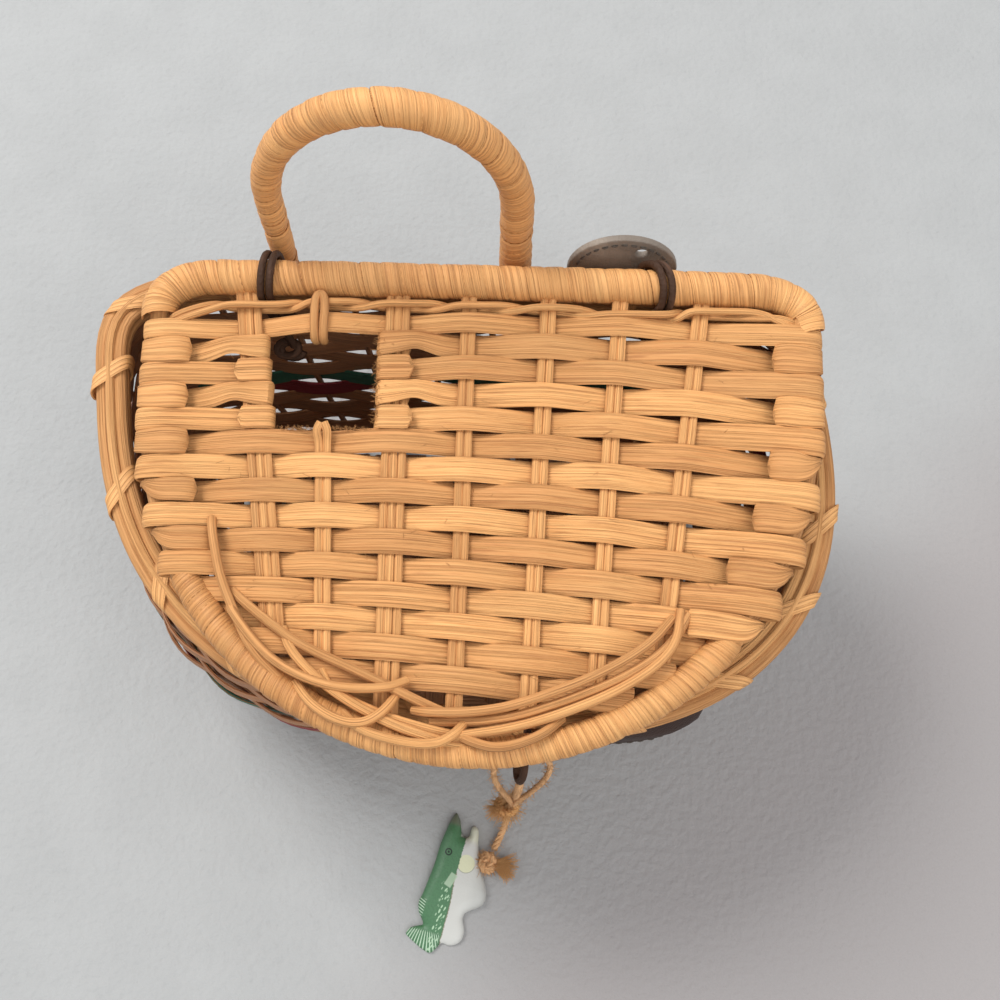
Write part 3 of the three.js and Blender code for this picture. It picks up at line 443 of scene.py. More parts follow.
def plies(name, route, radius, number=3, lay=7 * MM, sides=7):
    """A cord of plies twisted round its route."""
    route = evenly(route, 0.8 * MM)
    frames = side_frames(route)
    along = distances(route, False)
    strand = radius * 0.53
    pieces = []
    for ply in range(number):
        points = []
        for spot, (a, b), far in zip(route, frames, along):
            turn = TURN * (far / lay + ply / number)
            spread = radius - strand
            points.append(Vector(spot) + a * math.cos(turn) * spread + b * math.sin(turn) * spread)
        pieces.append(sweep(f"{name}_{ply}", points, circle(strand, sides), twist="MINIMUM"))
    return joined(name, pieces)


# Places on the lid and the basket


def lid_place(lid):
    return Matrix.Translation((lid.shift, lid.hinge_y, lid.hinge_z)) @ Matrix.Rotation(lid.slope, 4, "X")


def strip_place(lid):
    """Places a row drawn as across, height and depth."""
    return lid_place(lid) @ Matrix.Rotation(math.pi / 2, 4, "X")


def frame_x(lid, depth, side):
    beyond = max(0.0, depth - lid.straight) / lid.reach
    return side * lid.half_width * math.sqrt(max(0.0, 1 - beyond * beyond))


def hoop_depth(lid, x, margin):
    across = x / (lid.half_width - margin)
    return lid.straight + (lid.reach - margin) * math.sqrt(max(0.0, 1 - across * across))


def spoke_x(lid, index, depth):
    top, front, _ = SPOKES[index]
    return (top + (front - top) * depth / SPOKE_FRONT_DEPTH) * lid.half_width


def spoke_width(lid, index):
    return SPOKES[index][2] * lid.strand


def through_readings(lid, x, values):
    a, b, c = (reading[0] * lid.half_width for reading in ROW_READINGS)
    p, q, r = values
    return (
        p * (x - b) * (x - c) / ((a - b) * (a - c))
        + q * (x - a) * (x - c) / ((b - a) * (b - c))
        + r * (x - a) * (x - b) / ((c - a) * (c - b))
    )


def row_depth(lid, row, x):
    deep = lid.straight + lid.reach
    shifts = FIRST_ROW_SET_IN if row == 1 else (0, 0, 0)
    values = [
        first + shift + pitch * deep * (row - 1)
        for (_, first, pitch), shift in zip(ROW_READINGS, shifts)
    ]
    return through_readings(lid, x, values)


def row_half(lid, row, x):
    deep = lid.straight + lid.reach
    pitch = through_readings(lid, x, [reading[2] * deep for reading in ROW_READINGS])
    return (pitch - lid.reed_gap - (FIRST_ROW_NARROWER if row == 1 else 0)) / 2


def weave_rise(lid):
    return lid.spoke_thick / 2 + CLEAR + lid.reed_thick / 2


def side_rise(lid):
    return lid.side_radius + 1.5 * CLEAR + lid.reed_thick / 2


def weave_sign(row, index):
    return 1 if (row + index) % 2 == 0 else -1


def turn_back(centre, reach, rise, side, sign, tail):
    """A reed turned back round an edge, then a short tail: places across and heights."""
    stations = []
    for i in range(5):
        turn = math.radians(90 - i * 45)
        stations.append((centre + side * reach * math.cos(turn), sign * rise * math.sin(turn)))
    stations.append((centre - side * tail, -sign * rise))
    return stations


def frame_end(lid, row, side):
    near = row_depth(lid, row, frame_x(lid, row_depth(lid, row, side * lid.half_width), side))
    half = row_half(lid, row, side * lid.half_width)
    edges = [frame_x(lid, near - half, side), frame_x(lid, near + half, side)]
    centre = sum(edges) / 2
    drift = abs(edges[0] - edges[1]) / 2
    spread = drift + lid.side_radius * (math.hypot(1, drift / half) - 1)
    sign = 1 if row % 2 == 1 else -1
    rise = side_rise(lid)
    lead = (centre - side * (lid.side_radius + spread + 1 * MM), sign * rise)
    ends = turn_back(centre, rise + spread, rise, side, sign, 5 * MM + spread)
    if sign < 0:
        last = ends.pop()
        ends.append((last[0] - side * 2 * MM, last[1] * 1.04))
        ends.append((last[0] - side * 4.6 * MM, last[1] * 0.35))
    return [lead, *ends]


def hoop_end(lid, row, side):
    margin = lid.hoop_radius * 0.4
    x = 0.0
    while abs(x) < lid.half_width - margin:
        ahead = x + side * 0.5 * MM
        if row_depth(lid, row, ahead) + row_half(lid, row, ahead) >= hoop_depth(lid, ahead, margin):
            break
        x = ahead
    away = []
    for i in range(len(SPOKES)):
        away.append(abs(spoke_x(lid, i, row_depth(lid, row, x)) - x) - spoke_width(lid, i) / 2)
    x += side * UNDER_HOOP
    return [(x, weave_sign(row, away.index(min(away))) * weave_rise(lid) * 0.6)]


def hole_fold(lid, row, index, side):
    depth = row_depth(lid, row, spoke_x(lid, index, row_depth(lid, row, 0)))
    edge = spoke_x(lid, index, depth) + side * spoke_width(lid, index) / 2
    rise = weave_rise(lid)
    reach = rise * (0.75 if side > 0 else 0.95)
    tail = spoke_width(lid, index) + (1.4 * MM if row % 2 else 0.4 * MM)
    return turn_back(edge, reach, rise * 1.15, side, weave_sign(row, index), tail)


def weave_stations(lid, row, first, last, low, high):
    stations = []
    for i in range(first, last + 1):
        x = spoke_x(lid, i, row_depth(lid, row, spoke_x(lid, i, row_depth(lid, row, 0))))
        half = spoke_width(lid, i) / 2
        for edge in (x - half, x + half):
            if low < edge < high:
                stations.append((edge, weave_sign(row, i) * weave_rise(lid)))
    return stations


def rim_half_width(creel):
    return creel.lid.half_width + creel.basket.overhang


def lid_plane_z(creel, y):
    return creel.lid.hinge_z - (creel.lid.hinge_y - y) * math.tan(creel.lid.slope)


def rim_top_z(creel, y):
    return lid_plane_z(creel, y) - (creel.lid.rod_radius + CLEAR + LASH_ROOM) / math.cos(creel.lid.slope)


def wall_top_z(creel, y):
    return rim_top_z(creel, y) - creel.basket.rim_height - LASH_ROOM - CLEAR


def outline_point(creel, turn, half_width, front, back, lean):
    c, s = math.cos(turn * TURN), math.sin(turn * TURN)
    power = 2 / (FRONT_ROUNDNESS if s > 0 else BACK_ROUNDNESS)
    x = half_width * math.copysign(abs(c) ** power, c)
    y = -(front if s > 0 else back) * math.copysign(abs(s) ** power, s)
    return Vector((x - lean * y, creel.basket.middle_y + y))


def even_turns(creel, number):
    """Turns that give even steps along the rim."""
    fine = 1920
    sizes = (rim_half_width(creel), creel.basket.front, creel.basket.back, RIM_LEAN)
    points = [outline_point(creel, i / fine, *sizes) for i in range(fine + 1)]
    along = distances(points, False)
    places = np.arange(fine + 1)
    return [float(np.interp(along[-1] * k / number, along, places)) / fine for k in range(number)]


def rim_point(creel, turn, offset):
    """A place on the rim's middle line moved outwards, and its outward direction."""
    sizes = (rim_half_width(creel), creel.basket.front, creel.basket.back, RIM_LEAN)
    ahead = outline_point(creel, turn + 0.002, *sizes) - outline_point(creel, turn - 0.002, *sizes)
    outward = Vector((-ahead.y, ahead.x)).normalized()
    spot = outline_point(creel, turn, *sizes)
    if outward.dot(spot - Vector((0, creel.basket.middle_y))) < 0:
        outward.negate()
    return spot + outward * offset, outward


def wall_point(creel, turn, height, inset):
    i = 0
    while i < len(WALL_SECTIONS) - 2 and WALL_SECTIONS[i + 1][0] < height:
        i += 1
    low, high = WALL_SECTIONS[i], WALL_SECTIONS[i + 1]
    part = (height - low[0]) / (high[0] - low[0])
    width, front, back = (a + (b - a) * part for a, b in zip(low[1:], high[1:]))
    face = creel.basket.wall / 2 - inset
    spot = outline_point(
        creel,
        turn,
        rim_half_width(creel) * width + face,
        creel.basket.front * front + face,
        creel.basket.back * back + face,
        RIM_LEAN * height**3,
    )
    return Vector((spot.x, spot.y, wall_top_z(creel, spot.y) * height))


def wall_outward(creel, turn, height):
    ahead = wall_point(creel, turn + 0.004, height, 0) - wall_point(creel, turn - 0.004, height, 0)
    outward = Vector((-ahead.y, ahead.x, 0)).normalized()
    if outward.dot(wall_point(creel, turn, height, 0) - Vector((0, creel.basket.middle_y, 0))) < 0:
        outward.negate()
    return outward


# Shader maths


class Wire:
    """A socket with the usual operators, each of which adds the node for it."""

    def __init__(self, shader, socket):
        self.shader = shader
        self.socket = socket

    def maths(self, operation, *others):
        node = self.shader.tree.nodes.new("ShaderNodeMath")
        node.operation = operation
        for slot, value in zip(node.inputs, (self, *others)):
            self.shader.feed(slot, value)
        return Wire(self.shader, node.outputs[0])

    def __add__(self, other):
        return self.maths("ADD", other)

    __radd__ = __add__

    def __sub__(self, other):
        return self.maths("SUBTRACT", other)

    def __rsub__(self, other):
        return (self * -1.0) + other

    def __mul__(self, other):
        return self.maths("MULTIPLY", other)

    __rmul__ = __mul__

    def __truediv__(self, other):
        return self.maths("DIVIDE", other)

    def __pow__(self, other):
        return self.maths("POWER", other)

    def __abs__(self):
        return self.maths("ABSOLUTE")

    def __gt__(self, other):
        return self.maths("GREATER_THAN", other)

    def __lt__(self, other):
        return self.maths("LESS_THAN", other)

    def within(self, low, high):
        """From 0 at low to 1 at high, smoothly."""
        node = self.shader.node(
            "ShaderNodeMapRange",
            {"interpolation_type": "SMOOTHSTEP"},
            Value=self,
            **{"From Min": low, "From Max": high},
        )
        return Wire(self.shader, node.outputs[0])


class Finish:
    """A material in the making."""

    def __init__(self, name, roughness=0.6, **settings):
        self.material = bpy.data.materials.new(name)
        self.material.use_nodes = True
        self.tree = self.material.node_tree
        self.shader = self.tree.nodes["Principled BSDF"]
        self.shader.inputs["Roughness"].default_value = roughness
        for label, value in settings.items():
            self.shader.inputs[label.replace("_", " ")].default_value = value

    def feed(self, slot, value):
        if isinstance(value, Wire):
            self.tree.links.new(value.socket, slot)
        elif hasattr(slot.default_value, "__len__") and len(slot.default_value) == 4 and len(value) == 3:
            slot.default_value = (*value, 1.0)
        else:
            slot.default_value = value

    def node(self, kind, settings=None, **values):
        node = self.tree.nodes.new(kind)
        for key, value in (settings or {}).items():
            setattr(node, key, value)
        for label, value in values.items():
            self.feed(node.inputs[label], value)
        return node

    def surface(self):
        """Metres along and round the piece."""
        node = self.node("ShaderNodeUVMap", {"uv_map": "UVMap"})
        parts = self.node("ShaderNodeSeparateXYZ", Vector=Wire(self, node.outputs[0]))
        return Wire(self, parts.outputs[0]), Wire(self, parts.outputs[1])

    def space(self):
        node = self.node("ShaderNodeTexCoord")
        return Wire(self, node.outputs["Object"])

    def place(self, x, y, z=0.0):
        return Wire(self, self.node("ShaderNodeCombineXYZ", X=x, Y=y, Z=z).outputs[0])

    def speckle(self, where, scale=1.0, detail=2.0, roughness=0.5, distortion=0.0):
        node = self.node(
            "ShaderNodeTexNoise",
            Vector=where,
            Scale=scale,
            Detail=detail,
            Roughness=roughness,
            Distortion=distortion,
        )
        return Wire(self, node.outputs["Fac"])

    def cells(self, where, scale, feature="F1"):
        node = self.node("ShaderNodeTexVoronoi", {"feature": feature}, Vector=where, Scale=scale)
        return Wire(self, node.outputs["Distance"])

    def blend(self, share, first, second, kind="MIX"):
        node = self.tree.nodes.new("ShaderNodeMix")
        node.data_type = "RGBA"
        node.blend_type = kind
        self.feed(node.inputs[0], share)
        self.feed(node.inputs[6], first)
        self.feed(node.inputs[7], second)
        return Wire(self, node.outputs[2])

    def paint(self, tint=None, roughness=None, relief=None, depth=0.0002, strength=1.0):
        if tint is not None:
            self.feed(self.shader.inputs["Base Color"], tint)
        if roughness is not None:
            self.feed(self.shader.inputs["Roughness"], roughness)
        if relief is not None:
            node = self.node("ShaderNodeBump", Height=relief, Strength=strength, Distance=depth)
            self.tree.links.new(node.outputs[0], self.shader.inputs["Normal"])
        return self.material


def reed_finish(name, base, deep, light, edge=None, edge_places=(), rough=0.52, relief=0.0002, grain=1.0):
    """Split reed: long fibres, dark lines between them, and patches of shade along its length."""
    finish = Finish(name, IOR=1.45)
    along, around = finish.surface()
    fine = finish.speckle(finish.place(along * 60, around * 6500 * grain), detail=3, roughness=0.65)
    lines = finish.speckle(finish.place(along * 10, around * 2300 * grain, 5.0), detail=3, roughness=0.6)
    streak = finish.speckle(finish.place(along * 70, around * 1300 * grain, 9.0), detail=3, roughness=0.6)
    patch = finish.speckle(finish.place(along * 26, around * 60, 2.0), detail=2)
    tone = finish.speckle(finish.place(along * 1.7, 0.5, 7.0), detail=0)
    tint = finish.blend((fine - 0.5) * 2.2 + 0.42, base, light)
    tint = finish.blend((0.47 - lines).within(0.0, 0.14) * 0.6, tint, deep)
    tint = finish.blend(streak.within(0.52, 0.72) * 0.5, tint, deep)
    tint = finish.blend(patch.within(0.45, 0.7) * 0.3, tint, light)
    tint = finish.blend(tone.within(0.4, 0.62) * 0.35, tint, deep)
    if edge is not None:
        for place in edge_places:
            tint = finish.blend((0.0004 - abs(around - place)).within(0.0, 0.0003), tint, edge)
    height = fine * 0.5 + lines.within(0.32, 0.58)
    return finish.paint(tint, rough + fine * 0.25, height, depth=relief)


def leather_finish(name, base, light, scale=1600.0, rough=0.42):
    finish = Finish(name, Coat_Roughness=0.35, Specular_IOR_Level=0.3)
    where = finish.space()
    pores = finish.cells(where, scale)
    cloud = finish.speckle(where, 90, detail=4)
    scuff = finish.speckle(where, 420, detail=3, roughness=0.65)
    tint = finish.blend(cloud.within(0.35, 0.75) * 0.55, base, light)
    tint = finish.blend(scuff.within(0.62, 0.75) * 0.4, tint, light)
    return finish.paint(tint, rough + cloud * 0.2, pores + scuff * 0.6, depth=0.00012)


def lace_finish(name, base):
    finish = Finish(name, Specular_IOR_Level=0.22)
    along, around = finish.surface()
    wrinkles = finish.speckle(finish.place(along * 1100, around * 1300), detail=3)
    wear = finish.speckle(finish.place(along * 120, around * 300, 3.0), detail=2)
    light = tuple(min(1.0, c * 2.6 + 0.01) for c in base)
    tint = finish.blend(wear.within(0.5, 0.72) * 0.5, base, light)
    return finish.paint(tint, 0.5 + wear * 0.25, wrinkles, depth=0.0005)


def jute_finish(name, base):
    finish = Finish(name)
    along, around = finish.surface()
    strands = finish.speckle(finish.place(along * 160, around * 2600), detail=3, roughness=0.65)
    cloud = finish.speckle(finish.space(), 260, detail=2)
    dark = tuple(c * 0.55 for c in base)
    light = tuple(min(1.0, c * 1.5) for c in base)
    tint = finish.blend((strands - 0.5) * 1.8 + 0.5, dark, light)
    tint = finish.blend(cloud.within(0.4, 0.7) * 0.5, tint, base)
    return finish.paint(tint, 0.9, strands, depth=0.0003)


FINISHES = {}


def finish_of(creel, key):
    """The material for a key, made the first time it is asked for."""
    if key not in FINISHES:
        shades = creel.colours
        natural = (tuple(shades.reed), tuple(shades.reed_deep), tuple(shades.reed_light))
        if key == "row":
            made = reed_finish("reed_row", *natural)
        elif key == "spoke":
            made = reed_finish("reed_spoke", *natural, grain=1.3)
        elif key == "wrap":
            made = reed_finish("reed_wrap", *natural, rough=0.42)
        elif key == "rim":
            darker = tuple(c * 0.8 for c in natural[0])
            made = reed_finish("reed_rim", darker, natural[1], natural[2])
        elif key in ("brown", "green", "maroon"):
            base = tuple(getattr(shades, key))
            deep = tuple(c * 0.35 for c in base)
            light = tuple(min(1.0, c * 1.7) for c in base)
            made = reed_finish(
                f"reed_{key}", base, deep, light, edge=natural[1], edge_places=(0.0032, 0.0109), rough=0.4
            )
        elif key == "lace":
            made = lace_finish("lace", tuple(shades.lace))
        elif key == "leather":
            base = tuple(shades.leather)
            made = leather_finish("leather", base, tuple(c * 1.7 for c in base))
        elif key == "tab":
            base = tuple(shades.tab)
            dark = tuple(c * 0.6 for c in base)
            made = leather_finish("tab_leather", dark, tuple(c * 1.3 for c in base), rough=0.5)
        elif key == "thread":
            made = jute_finish("thread", tuple(c * 0.4 for c in shades.tab))
        elif key == "jute":
            made = jute_finish("jute", tuple(shades.jute))
        # The tufts get a lighter, warmer copy of the jute: painted light that makes up for the shade their
        # fibres cast on each other.
        elif key == "tuft":
            made = jute_finish("jute_tuft", tuple(c * k for c, k in zip(shades.jute, (1.18, 1.02, 0.82))))
        elif key == "fish":
            made = fish_finish(creel)
        else:
            raise RuntimeError(f"no finish is called {key}")
        FINISHES[key] = made
    return FINISHES[key]


def fish_finish(creel):
    """Painted fish: green back, pale belly, a dark line between them, and pale rays on the fins."""
    finish = Finish("fish_paint", Coat_Roughness=0.15)
    shades, long = creel.colours, creel.charm.fish_length
    turned = finish.node(
        "ShaderNodeMapping",
        {"vector_type": "TEXTURE"},
        Vector=finish.space(),
        Location=(FISH_NOSE[0], FISH_NOSE[1], 0.0),
        Rotation=(0.0, 0.0, -creel.charm.fish_turn),
    )
    parts = finish.node("ShaderNodeSeparateXYZ", Vector=Wire(finish, turned.outputs[0]))
    across = Wire(finish, parts.outputs[0]) / long
    down = Wire(finish, parts.outputs[1]) / -long
    blot = finish.speckle(finish.place(across * 60, down * 60), detail=3)
    edge = 0.104 + (blot - 0.5) * 0.02 + (down - 0.45).within(0.0, 0.25) * 0.018
    belly = (across - edge).within(-0.004, 0.004)
    jaw = (0.17 - down).within(0.0, 0.02) * (across - 0.055).within(0.0, 0.01)
    belly = belly.maths("MAXIMUM", jaw)
    green = tuple(shades.fish_back)
    back = finish.blend(blot.within(0.4, 0.7) * 0.5, green, tuple(c * 0.72 for c in green))
    dark = tuple(c * 0.12 for c in shades.fish_back)
    pale = tuple(shades.fish_belly)
    shadow = finish.blend((across - 0.2).within(0.0, 0.16) * 0.55, pale, tuple(c * 0.62 for c in pale))
    gill = (0.068 - ((across - 0.155) ** 2 + (down - 0.345) ** 2) ** 0.5).within(0.0, 0.006)
    shadow = finish.blend(gill * 0.85, shadow, (0.66, 0.66, 0.42))
    throat = (0.21 - down).within(0.0, 0.06) * (across - 0.07).within(0.0, 0.02)
    shadow = finish.blend(throat * 0.6, shadow, (0.66, 0.66, 0.46))
    tint = finish.blend(belly, back, shadow)
    line = (0.006 - abs(across - edge)).within(0.0, 0.004) * (down - 0.4).within(0.0, 0.05)
    tint = finish.blend(line * 0.7, tint, (0.16, 0.13, 0.06))
    marks = finish.place((across + down * 0.3) * 60, (down - across * 0.3) * 26)
    dots = (0.42 - finish.cells(marks, 1.0)).within(0.0, 0.12)
    band = (0.045 - abs(across - edge + 0.05)).within(0.0, 0.02) * (down - 0.5).within(0.0, 0.04)
    tint = finish.blend(dots * band * 0.75, tint, (0.5, 0.7, 0.46))
    fin_x, fin_y = across - 0.078, down - 0.487
    pectoral = (0.03 - abs(fin_x * 0.9 + fin_y * 0.3)).within(0.0, 0.008)
    pectoral = pectoral * (0.052 - abs(fin_y * 0.9 - fin_x * 0.3)).within(0.0, 0.008)
    tint = finish.blend(pectoral * 0.8, tint, (0.4, 0.52, 0.36))
    fan = (across + 0.02) / (down - 0.7)
    rays = ((fan * 70).maths("SINE") + 0.1).within(0.0, 0.7) * (down - 0.87).within(0.0, 0.02)
    rays = rays * (0.115 - across).within(0.0, 0.01)
    tint = finish.blend(rays * 0.75, tint, (0.55, 0.72, 0.52))
    fin = (-0.05 - across).within(0.0, 0.015) * (down - 0.66).within(0.0, 0.01)
    stripes = ((down * 320 - across * 130).maths("SINE") + 0.1).within(0.0, 0.7)
    stripes = stripes * fin * (0.79 - down).within(0.0, 0.01)
    tint = finish.blend(stripes * 0.8, tint, (0.55, 0.72, 0.52))
    snout = (0.11 - down).within(0.0, 0.04) * (0.07 - across).within(0.0, 0.01)
    tint = finish.blend(snout * 0.75, tint, (0.16, 0.15, 0.11))
    lip = (0.012 - abs(across - 0.02 - down * 0.3)).within(0.0, 0.006) * (0.12 - down).within(0.0, 0.03)
    tint = finish.blend(lip * 0.8, tint, (0.55, 0.56, 0.5))
    eye = ((across - 0.004) ** 2 + (down - 0.297) ** 2) ** 0.5
    ring = (0.007 - abs(eye - 0.022)).within(0.0, 0.003)
    pupil = (0.01 - eye).within(0.0, 0.003)
    tint = finish.blend(ring.maths("MAXIMUM", pupil), tint, dark)
    cover = (0.004 - abs(((across - 0.155) ** 2 + (down - 0.345) ** 2) ** 0.5 - 0.066)).within(0.0, 0.002)
    tint = finish.blend(cover * 0.45 * (across > 0.1) * (down > 0.35), tint, (0.1, 0.11, 0.06))
    relief = rays + stripes + blot * 0.3
    return finish.paint(tint, 0.38 + blot * 0.1, relief, depth=0.0002)


# Pieces


def clamped(x, limit):
    return max(-limit, min(limit, x))


def nearness(value, centre, reach):
    """One at the centre, and nearly nothing beyond twice the reach."""
    return math.exp(-(((value - centre) / reach) ** 2))


def row_piece(creel, name, row, stations, tails, leaves=()):
    """One flat reed of the lid through its stations.

    A tail is the length over which an end narrows; a leaf is a side on which the reed is pinched as it turns.
    """
    lid = creel.lid
    line = evenly(softened(stations), 1 * MM)
    along = distances(line, False)
    half = row_half(lid, row, 0)
    points, tilts, sizes = [], [], []
    for (x, rise), far in zip(line, along):
        flat = clamped(x, lid.half_width)
        sway = wobble(row, x * 22) * 0.45 * MM
        size = row_half(lid, row, flat) / half * (1.05 + wobble(row + 40, x * 30) * 0.05)
        for reach, left in ((tails[0], far), (tails[1], along[-1] - far)):
            if left < reach:
                size *= max(0.3, (left / reach) ** 0.35)
            if row % 2 == 0 and row <= 6 and reach:
                dip = nearness(left, DIP_AT, FOLD_REACH)
                size *= 1 + 0.16 * nearness(left, FOLD_AT, FOLD_REACH) - 0.2 * dip
                sway -= 1.1 * MM * dip
        for side in leaves:
            tip = max(side * spot[0] for spot in line)
            pinch = math.exp(-(((side * x - tip) / (3.6 * MM)) ** 2))
            size *= 1 - 0.74 * pinch
            sway -= 2 * MM * pinch
        points.append((x, rise, row_depth(lid, row, flat) + sway))
        tilts.append(wobble(row + 20, x * 35) * 0.14)
        sizes.append(size)
    piece = sweep(name, points, flat_reed(2 * half, lid.reed_thick), tilts=tilts, sizes=sizes)
    put(piece, strip_place(lid))
    return finished(piece, "lid", finish_of(creel, "row"), name, slot="natural_reed")


def weave_row(creel, row):
    lid = creel.lid
    last = len(SPOKES) - 1
    name = f"lid_row_{row:02d}"
    ends, tails, leaves = {}, {}, []
    for side in (-1, 1):
        wrapped = row <= LAST_WRAPPED[side]
        ends[side] = frame_end(lid, row, side) if wrapped else hoop_end(lid, row, side)
        tails[side] = 0.6 * MM if wrapped else 0.0
        if wrapped and row % 2 == 0 and row >= (8 if side < 0 else 6):
            leaves.append(side)
    low, high = ends[-1][0][0] + CLEAR, ends[1][0][0] - CLEAR
    left = ends[-1][::-1]
    if row in HOLE_ROWS:
        near = weave_stations(lid, row, 0, 0, low, high)[:1]
        fold = hole_fold(lid, row, 0, 1)
        row_piece(creel, f"{name}_left", row, left + near + fold, (tails[-1], 1.2 * MM))
        back = hole_fold(lid, row, 2, -1)[::-1]
        far = weave_stations(lid, row, 2, last, low, high)[1:]
        row_piece(creel, f"{name}_right", row, back + far + ends[1], (1.2 * MM, tails[1]))
    else:
        across = weave_stations(lid, row, 0, last, low, high)
        row_piece(creel, name, row, left + across + ends[1], (tails[-1], tails[1]), leaves)


def spoke_strands(creel, name, index, start, end, looped):
    """The strands of a spoke, which give way a little to each row; looped ends bow upwards."""
    lid = creel.lid
    strands = SPOKES[index][2]
    pieces = []
    for strand in range(strands):
        shift = (strand - (strands - 1) / 2) * lid.strand
        points = []
        for row in range(0, ROW_COUNT + 2):
            depth = row_depth(lid, row, spoke_x(lid, index, row_depth(lid, row, 0)))
            if start < depth < end:
                sway = wobble(index * 5 + strand, depth * 40) * 0.25 * MM
                rise = -0.32 * MM * weave_sign(row, index)
                points.append((spoke_x(lid, index, depth) + shift + sway, -depth, rise))
        first = (spoke_x(lid, index, start) + shift, -start, 0.0)
        final = (spoke_x(lid, index, end) + shift, -end, 0.0)
        if looped > 0:
            inner = shift * 0.4
            first = (first[0] - shift + inner, -start + 0.6 * MM, 1.9 * MM)
            points.insert(0, (first[0] + shift, -start - 1.5 * MM, 1.7 * MM))
        if looped < 0:
            inner = shift * 0.4
            final = (final[0] - shift + inner, -end - 0.8 * MM, 1.6 * MM)
            points.append((final[0] + shift - inner, -end + 1.5 * MM, 2.2 * MM))
        route = softened([first, *points, final])
        pieces.append(sweep(f"{name}_{strand}", route, circle(lid.strand * 0.53, 9, 0.82)))
    piece = joined(name, pieces)
    put(piece, lid_place(lid))
    return finished(piece, "lid", finish_of(creel, "spoke"), name, slot="natural_reed")


def spoke_end(lid, index):
    half = spoke_width(lid, index) / 2
    x = spoke_x(lid, index, SPOKE_FRONT_DEPTH)
    margin = lid.hoop_radius + CLEAR
    return min(hoop_depth(lid, x - half, margin), hoop_depth(lid, x + half, margin)) - CLEAR


def wound(name, path, radius, pitch, sizes=None, thick=0.6 * MM, tint_turns=14):
    """A flat reed wound round a core that follows a path: wound about Z first, then bent along the path."""
    path = evenly([(*point, size) for point, size in zip(path, sizes or [1.0] * len(path))], 1.5 * MM)
    sizes = [point[3] for point in path]
    path = [point[:3] for point in path]
    long = distances(path, False)[-1]
    turns = long / pitch
    middle = radius - thick / 2
    points, tilts = [], []
    steps = int(turns * tint_turns)
    for i in range(steps + 1):
        turn = i / tint_turns
        swell = 1 + wobble(len(name), turn * 0.9) * 0.035
        lift = wobble(len(name) + 3, turn * 0.7) * pitch * 0.12
        points.append(
            (
                middle * swell * math.cos(TURN * turn),
                middle * swell * math.sin(TURN * turn),
                min(long, max(0.0, turn * pitch + lift)),
            )
        )
        tilts.append(wobble(len(name) + 9, turn * 0.8) * 0.14)
    reed = sweep(name, points, flat_reed(pitch * 1.02, thick, crown=1, steps=8, bulge=0.5), tilts=tilts)
    straight = [(0, 0, long * i / 60) for i in range(61)]
    core = sweep(f"{name}_core", straight, circle(radius - thick, 14), twist="MINIMUM")
    piece = joined(name, [reed, core])
    guide = drawn_line("guide", path, sizes=sizes)
    guide.data.dimensions = "3D"
    pick(piece)
    bpy.ops.object.modifier_add(type="CURVE")
    bend = piece.modifiers[-1]
    bend.object = guide
    bend.deform_axis = "POS_Z"
    bpy.ops.object.modifier_apply(modifier=bend.name)
    bpy.data.objects.remove(guide)
    close_up(piece)
    return piece


def on_lid(x, depth, rise=0.0):
    return (x, -depth, rise)


def rod_path(lid):
    corner = lid.rod_corner
    inner = lid.half_width - corner * 1.6
    right = [
        (inner, 0.0),
        (lid.half_width - corner * 0.7, corner * 0.13),
        (lid.half_width - corner * 0.12, corner * 0.5),
        (lid.half_width, corner * 0.9),
        (lid.half_width, corner * 1.05),
    ]
    line = [on_lid(-x, depth) for x, depth in right[::-1]] + [on_lid(x, depth) for x, depth in right]
    return softened(line, 3)


def wrap_limit(lid, side):
    row = LAST_WRAPPED[side]
    x = frame_x(lid, row_depth(lid, row, side * lid.half_width), side)
    return row_depth(lid, row, x) + row_half(lid, row, x) + CLEAR


def hoop_path(lid):
    """The hoop's middle line and sizes; its thin ends run on inside the wraps of the last rows."""
    turns = []
    for side in (-1, 1):
        limit = wrap_limit(lid, side) + lid.hoop_radius * 0.4
        turns.append([math.asin((limit - back - lid.straight) / lid.reach) for back in (9 * MM, 0)])
    path, sizes = [], []
    thin, full = turns[0][0], turns[0][1]
    start, end = thin, math.pi - turns[1][0]
    for i in range(101):
        turn = start + (end - start) * i / 100
        share = min((turn - thin) / (full - thin), (end - turn) / (turns[1][1] - turns[1][0]))
        path.append(on_lid(-lid.half_width * math.cos(turn), lid.straight + lid.reach * math.sin(turn)))
        sizes.append(0.55 + 0.45 * max(0.0, min(1.0, share * 1.3 - 0.15)))
    return path, sizes


def side_path(lid, side):
    start, end = lid.rod_corner * 0.9, wrap_limit(lid, side)
    depths = [start + (end - start) * i / 40 for i in range(41)]
    return [on_lid(frame_x(lid, depth, side), depth) for depth in depths]


